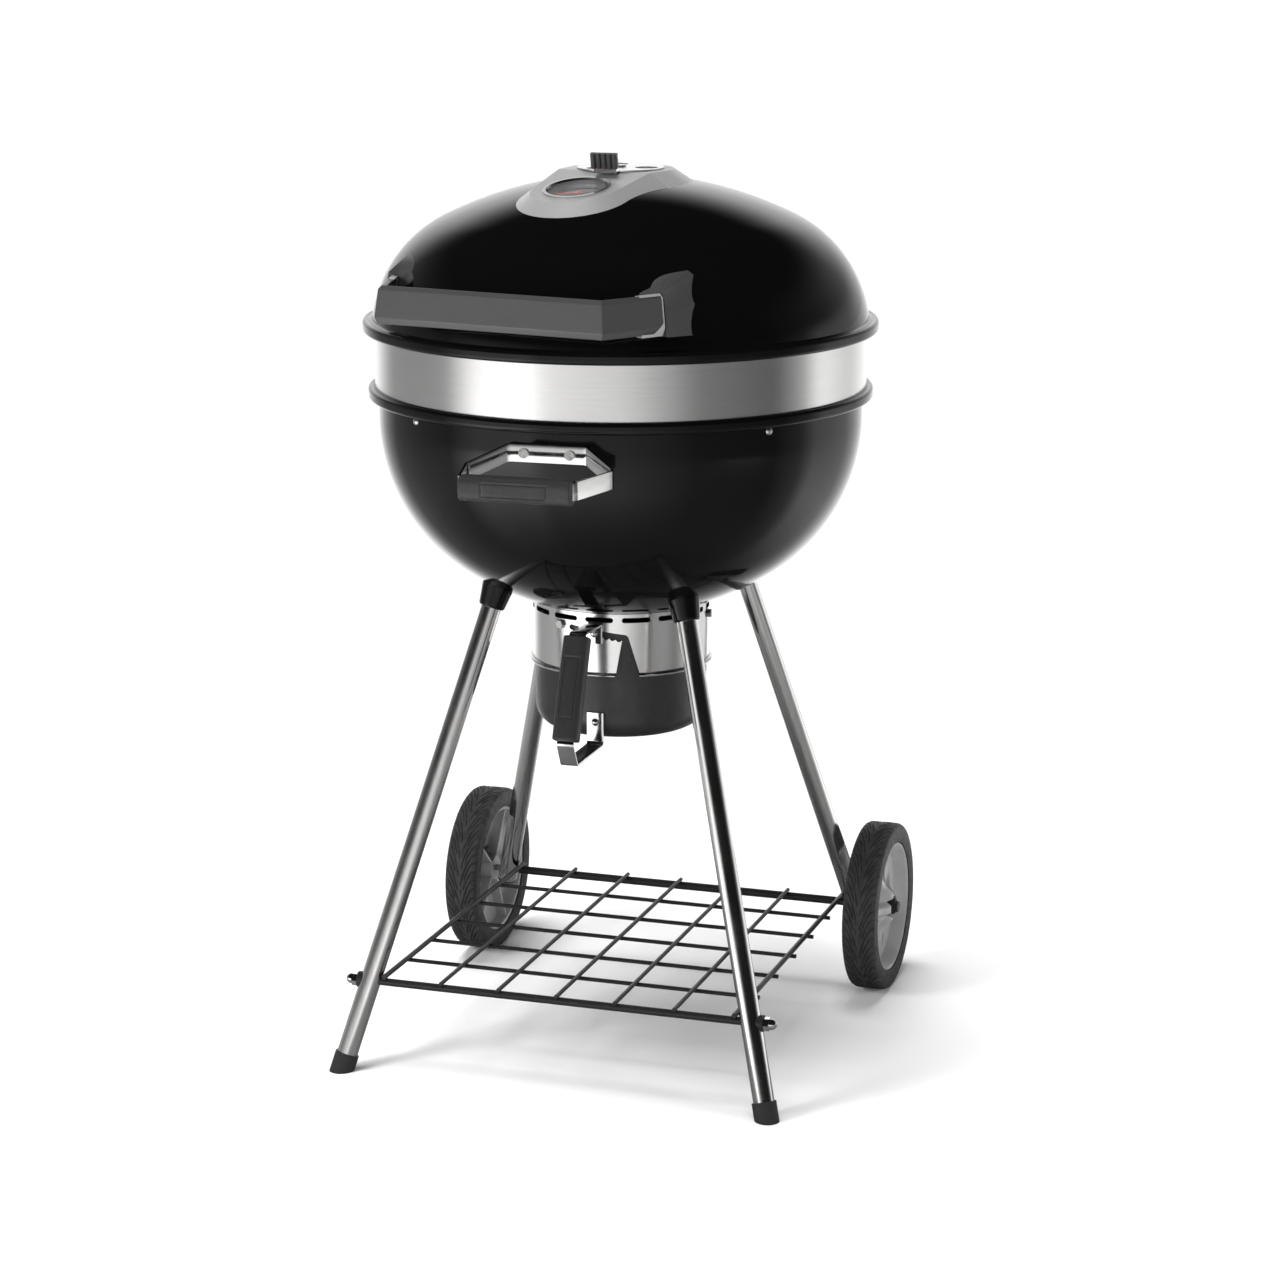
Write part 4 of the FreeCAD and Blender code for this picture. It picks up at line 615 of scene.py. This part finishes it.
def grip(name, start, end, across, width, depth, body, turn, covers):
    """A rubber grip with rounded ends and a plain framed panel pressed into its outer face."""
    along = (end - start).normalized()
    normal = along.cross(across).normalized()
    length = (end - start).length
    rows, columns = 110, 96
    power = 2 / 3.4  # of the section, a rounded rectangle
    end_round, end_length = 1.6, 2.2
    panel_length, panel_height = length * 0.29, width * 0.27
    vertices = []
    for i in range(rows):
        s = length * (0.5 - 0.5 * math.cos(math.pi * i / (rows - 1)))
        near_end = min(s, length - s)
        off_end = 1 - min(near_end / end_length, 1)
        shrink = end_round * (1 - math.sqrt(max(0, 1 - off_end ** 2)))
        for j in range(columns):
            angle = 2 * math.pi * j / columns
            x = (width / 2 - shrink) * math.copysign(abs(math.cos(angle)) ** power, math.cos(angle))
            y = (depth / 2 - shrink) * math.copysign(abs(math.sin(angle)) ** power, math.sin(angle))
            if y > depth * 0.25:
                # a groove round the panel's edge, and the panel itself a little lower
                out = max(abs(s - length / 2) - panel_length, abs(x) - panel_height)
                y -= 0.7 * (1 - smooth_step((abs(out) - 0.5) / 0.9))
                y -= 0.25 * (1 - smooth_step(out / 0.6 + 0.5))
            vertices.append(start + along * s + across * x + normal * y)
    faces = grid_faces(rows, columns, closed_columns=True)
    faces += [tuple(range(columns)), tuple(range(len(vertices) - columns, len(vertices)))]
    return add_object(name, vertices, faces, body, "grip_rubber", turn, 35, covers)


def bowl_handle():
    """Steel loop bolted to the bowl's front, with its grip."""
    back, grip_at, loop = 281, 388, 725.5
    grip_height = loop - 1.5
    right = [Vector((44, -back, 744)), Vector((83, -309, loop)), Vector((64, -grip_at, loop)),
             Vector((2, -grip_at, loop))]
    left = [Vector((-p.x, p.y, p.z)) for p in reversed(right)]
    strap("bowl_handle_steel", left + right, UP, 3, 20, 8, "kettle_and_legs", "stainless",
          HANDLE_TURN, covers=["bowl_handle_strap"])
    grip("bowl_grip_soft", Vector((-62, -grip_at, grip_height)), Vector((62, -grip_at, grip_height)),
         UP, 27, 25, "kettle_and_legs", HANDLE_TURN, ["bowl_handle_grip"])


def ash_handle():
    """Steel strap from the pot's wall up and out and back under the pot, with its grip."""
    thick = 2.5
    surface, pot_face = 103.5 + 1 + thick / 2, 100.5 + 0.05 + thick / 2
    route = [(surface, 494), (surface, 516), (166, 519), (214.5, 401), (200, 374.5),
             (pot_face + 2, 373), (pot_face, 377), (pot_face, 411)]
    side = Vector((1, 0, 0))
    strap("ash_handle_steel", [Vector((0, -d, z)) for d, z in route], side, thick, 20, 5,
          "ash_catcher_pot", "stainless", POT_TURN, covers=["ash_handle_strap"])
    grip("ash_grip_soft", Vector((0, -167.5, 515.4)), Vector((0, -212.6, 405.6)), side, 30, 24,
         "ash_catcher_pot", POT_TURN, ["ash_handle_grip"])


# ---------------------------------------------------------------- gauge

def gauge_marks():
    """Plain ticks, a warm zone and a pale block on the thermometer's dial, under the dome's surface."""
    tilt = math.radians(12)
    out, bend_out, bend_height = 104, 40, 1026
    centre = Vector((0, -out, bend_height - (out - bend_out) * math.tan(tilt)))
    turn = Matrix.Rotation(tilt, 3, "X")
    height, thickness = -6.95, 0.25

    def flat_piece(name, polygons, color):
        vertices, faces = [], []
        for polygon in polygons:
            base, count = len(vertices), len(polygon)
            for z in (height, height + thickness):
                vertices += [turn @ Vector((x, y, z)) + centre for x, y in polygon]
            faces += [tuple(range(base, base + count)), tuple(range(base + count, base + 2 * count))]
            faces += [(base + i, base + (i + 1) % count, base + count + (i + 1) % count,
                       base + count + i) for i in range(count)]
        add_object(name, vertices, faces, "lid", "gauge_dial", LID_TURN, material=paint(name, color))

    def sector(inner, outer, start, end, steps=24):
        rim = [(outer, start + (end - start) * k / steps) for k in range(steps + 1)]
        rim += [(inner, end - (end - start) * k / steps) for k in range(steps + 1)]
        return [(r * math.cos(math.radians(a)), r * math.sin(math.radians(a))) for r, a in rim]

    first, pitch, tick_radius = 220, 6.5, 31
    ticks = []
    for k in range(41):
        middle = first - pitch * k
        length, half = (5, 0.8) if k % 5 == 0 else (3, 0.45)
        ticks.append(sector(tick_radius - length, tick_radius, middle - half, middle + half, 1))
    flat_piece("gauge_ticks", ticks, (0.75, 0.75, 0.73))
    flat_piece("gauge_zone", [sector(15, 20, 225, 315)], (0.55, 0.06, 0.03))
    flat_piece("gauge_block", [[(-24, -6), (-13, -6), (-13, 1), (-24, 1)]], (0.62, 0.62, 0.60))


# ---------------------------------------------------------------- studio

CAMERA_DIRECTION = 18.2  # degrees from the front, towards +X

# (degrees to the right of the camera's direction, brightness): pale panels and dark gaps round the grill
AROUND = [(-180, 1.1), (-155, 1.1), (-130, 0.30), (-85, 0.30), (-68, 1.2), (-42, 1.4), (-34, 0.9),
          (0, 0.75), (35, 0.20), (75, 0.10), (92, 0.40), (102, 1.1), (130, 0.7), (155, 1.1), (180, 1.1)]
# the same, above eye level
ABOVE = [(-180, 1.4), (-158, 1.2), (-140, 0.25), (-100, 0.12), (-60, 0.01), (70, 0.01), (105, 0.20),
         (140, 0.50), (162, 1.2), (180, 1.4)]

def studio_brightness(nodes, links, source, stops):
    """Brightness by direction from the grill's axis, as a grey colour."""
    mapping = nodes.new("ShaderNodeMapping")
    mapping.inputs["Rotation"].default_value[2] = math.radians(90 - CAMERA_DIRECTION)
    links.new(source, mapping.inputs["Vector"])
    around = nodes.new("ShaderNodeTexGradient")
    around.gradient_type = "RADIAL"
    links.new(mapping.outputs["Vector"], around.inputs["Vector"])
    ramp = nodes.new("ShaderNodeValToRGB")
    elements = ramp.color_ramp.elements
    elements[0].position, elements[1].position = 0, 1
    elements[0].color = (stops[0][1], stops[0][1], stops[0][1], 1)
    elements[1].color = (stops[-1][1], stops[-1][1], stops[-1][1], 1)
    for degrees, level in stops[1:-1]:
        elements.new(0.5 + degrees / 360).color = (level, level, level, 1)
    links.new(around.outputs["Fac"], ramp.inputs["Fac"])
    return ramp.outputs["Color"]


def step_between(nodes, links, source, low, high):
    """0 below `low` and 1 above `high`, with a soft change between them."""
    node = nodes.new("ShaderNodeMapRange")
    node.interpolation_type = "SMOOTHSTEP"
    node.inputs["From Min"].default_value = low
    node.inputs["From Max"].default_value = high
    links.new(source, node.inputs["Value"])
    return node.outputs["Result"]


def blend(nodes, links, share, first, second):
    """A mix of two colours. Each is a socket or a plain grey level."""
    node = nodes.new("ShaderNodeMix")
    node.data_type = "RGBA"
    links.new(share, node.inputs["Factor"])
    for name, color in (("A", first), ("B", second)):
        if isinstance(color, (int, float)):
            node.inputs[name].default_value = (color, color, color, 1)
        else:
            links.new(color, node.inputs[name])
    return node.outputs["Result"]


def studio_world():
    """Surroundings that are pale behind and beside the grill, and dark in front and overhead."""
    world = bpy.data.worlds.new("studio")
    bpy.context.scene.world = world
    world.use_nodes = True
    dark = 0.01
    nodes, links = world.node_tree.nodes, world.node_tree.links
    direction = nodes.new("ShaderNodeTexCoord").outputs["Generated"]
    height = nodes.new("ShaderNodeSeparateXYZ")
    links.new(direction, height.inputs["Vector"])
    low = studio_brightness(nodes, links, direction, AROUND)
    high = studio_brightness(nodes, links, direction, ABOVE)
    raised = step_between(nodes, links, height.outputs["Z"], 0.04, 0.20)
    overhead = step_between(nodes, links, height.outputs["Z"], 0.32, 0.62)
    color = blend(nodes, links, raised, low, high)
    color = blend(nodes, links, overhead, color, dark)
    links.new(color, nodes["Background"].inputs["Color"])


def studio_floor():
    """Plain pale floor. In mirror-like reflections its colour is a painted reflection: the brightness of
    the surroundings painted on by direction, with painted shade under the grill.
    """
    mesh = bpy.data.meshes.new("floor")
    reach = 90
    # painted shade: the floor's colour in reflections near the grill is painted this dark
    shade_under_grill = 0.15
    mesh.from_pydata([(-reach, -reach, 0), (reach, -reach, 0), (reach, reach, 0), (-reach, reach, 0)],
                     [], [(0, 1, 2, 3)])
    floor = bpy.data.objects.new("floor", mesh)
    bpy.context.scene.collection.objects.link(floor)
    surface = Surface("floor_paint_and_painted_reflection", (0.88, 0.87, 0.865), 0.0, 0.6, specular=0.1)
    nodes, links = surface.nodes, surface.links
    around = studio_brightness(nodes, links, surface.place, AROUND)
    length = nodes.new("ShaderNodeVectorMath")
    length.operation = "LENGTH"
    links.new(surface.place, length.inputs[0])
    away = step_between(nodes, links, length.outputs["Value"], 0.3, 1.4)
    # painted reflection: the surroundings' brightness painted into the floor's colour, fading into
    # painted shade near the grill
    painted_reflection = blend(nodes, links, away, shade_under_grill, around)
    path = nodes.new("ShaderNodeLightPath")
    plain = surface.ramp(surface.noise(3, 3), 0.865, 0.875)
    # reflected rays see the painted reflection, all other rays the plain floor colour
    colour_with_painted_reflection = blend(nodes, links, path.outputs["Is Glossy Ray"], plain, painted_reflection)
    links.new(colour_with_painted_reflection, surface.shader.inputs["Base Color"])
    mesh.materials.append(surface.material)


def studio():
    """Plain pale floor, pale surroundings and soft lights."""
    studio_floor()
    studio_world()

    def lamp(kind, name, at, target, energy):
        light = bpy.data.lights.new(name, kind)
        light.energy = energy
        thing = bpy.data.objects.new(name, light)
        thing.location = at
        thing.rotation_euler = (Vector(target) - Vector(at)).to_track_quat("-Z", "Y").to_euler()
        thing.visible_glossy = False
        bpy.context.scene.collection.objects.link(thing)
        return light

    main = lamp("SUN", "main_light", (-0.5, -0.15, 3.2), (0, 0, 0), 3.6)
    main.angle = math.radians(36)
    middle = (0, 0, 0.6)
    panels = (("front_light", (-2.0, -2.6, 1.7), 110),
              ("side_light", (2.8, -0.6, 0.9), 45))
    for name, at, power in panels:
        panel = lamp("AREA", name, at, middle, power)
        panel.shape = "RECTANGLE"
        panel.size, panel.size_y = 1.0, 1.6


def camera():
    """The studio's camera, to the right of the grill's front and a little above it."""
    data = bpy.data.cameras.new("camera")
    data.lens = 94.84
    data.sensor_width = 36
    eye = bpy.data.objects.new("camera", data)
    eye.location = (1.22624, -3.65866 + AXIS_Y, 1.38475)
    eye.rotation_euler = (math.radians(76.72), 0, math.radians(CAMERA_DIRECTION))
    bpy.context.scene.collection.objects.link(eye)
    bpy.context.scene.camera = eye
    bpy.context.scene.view_settings.view_transform = "Standard"


dress_cad_nodes()
bowl()
lid()
band()
lid_handle()
bowl_handle()
ash_handle()
tyre_shape = tyre_mesh()
hub_shape = hub_mesh()
wheel("left", -1, tyre_shape, hub_shape)
wheel("right", 1, tyre_shape, hub_shape)
gauge_marks()
studio()
camera()
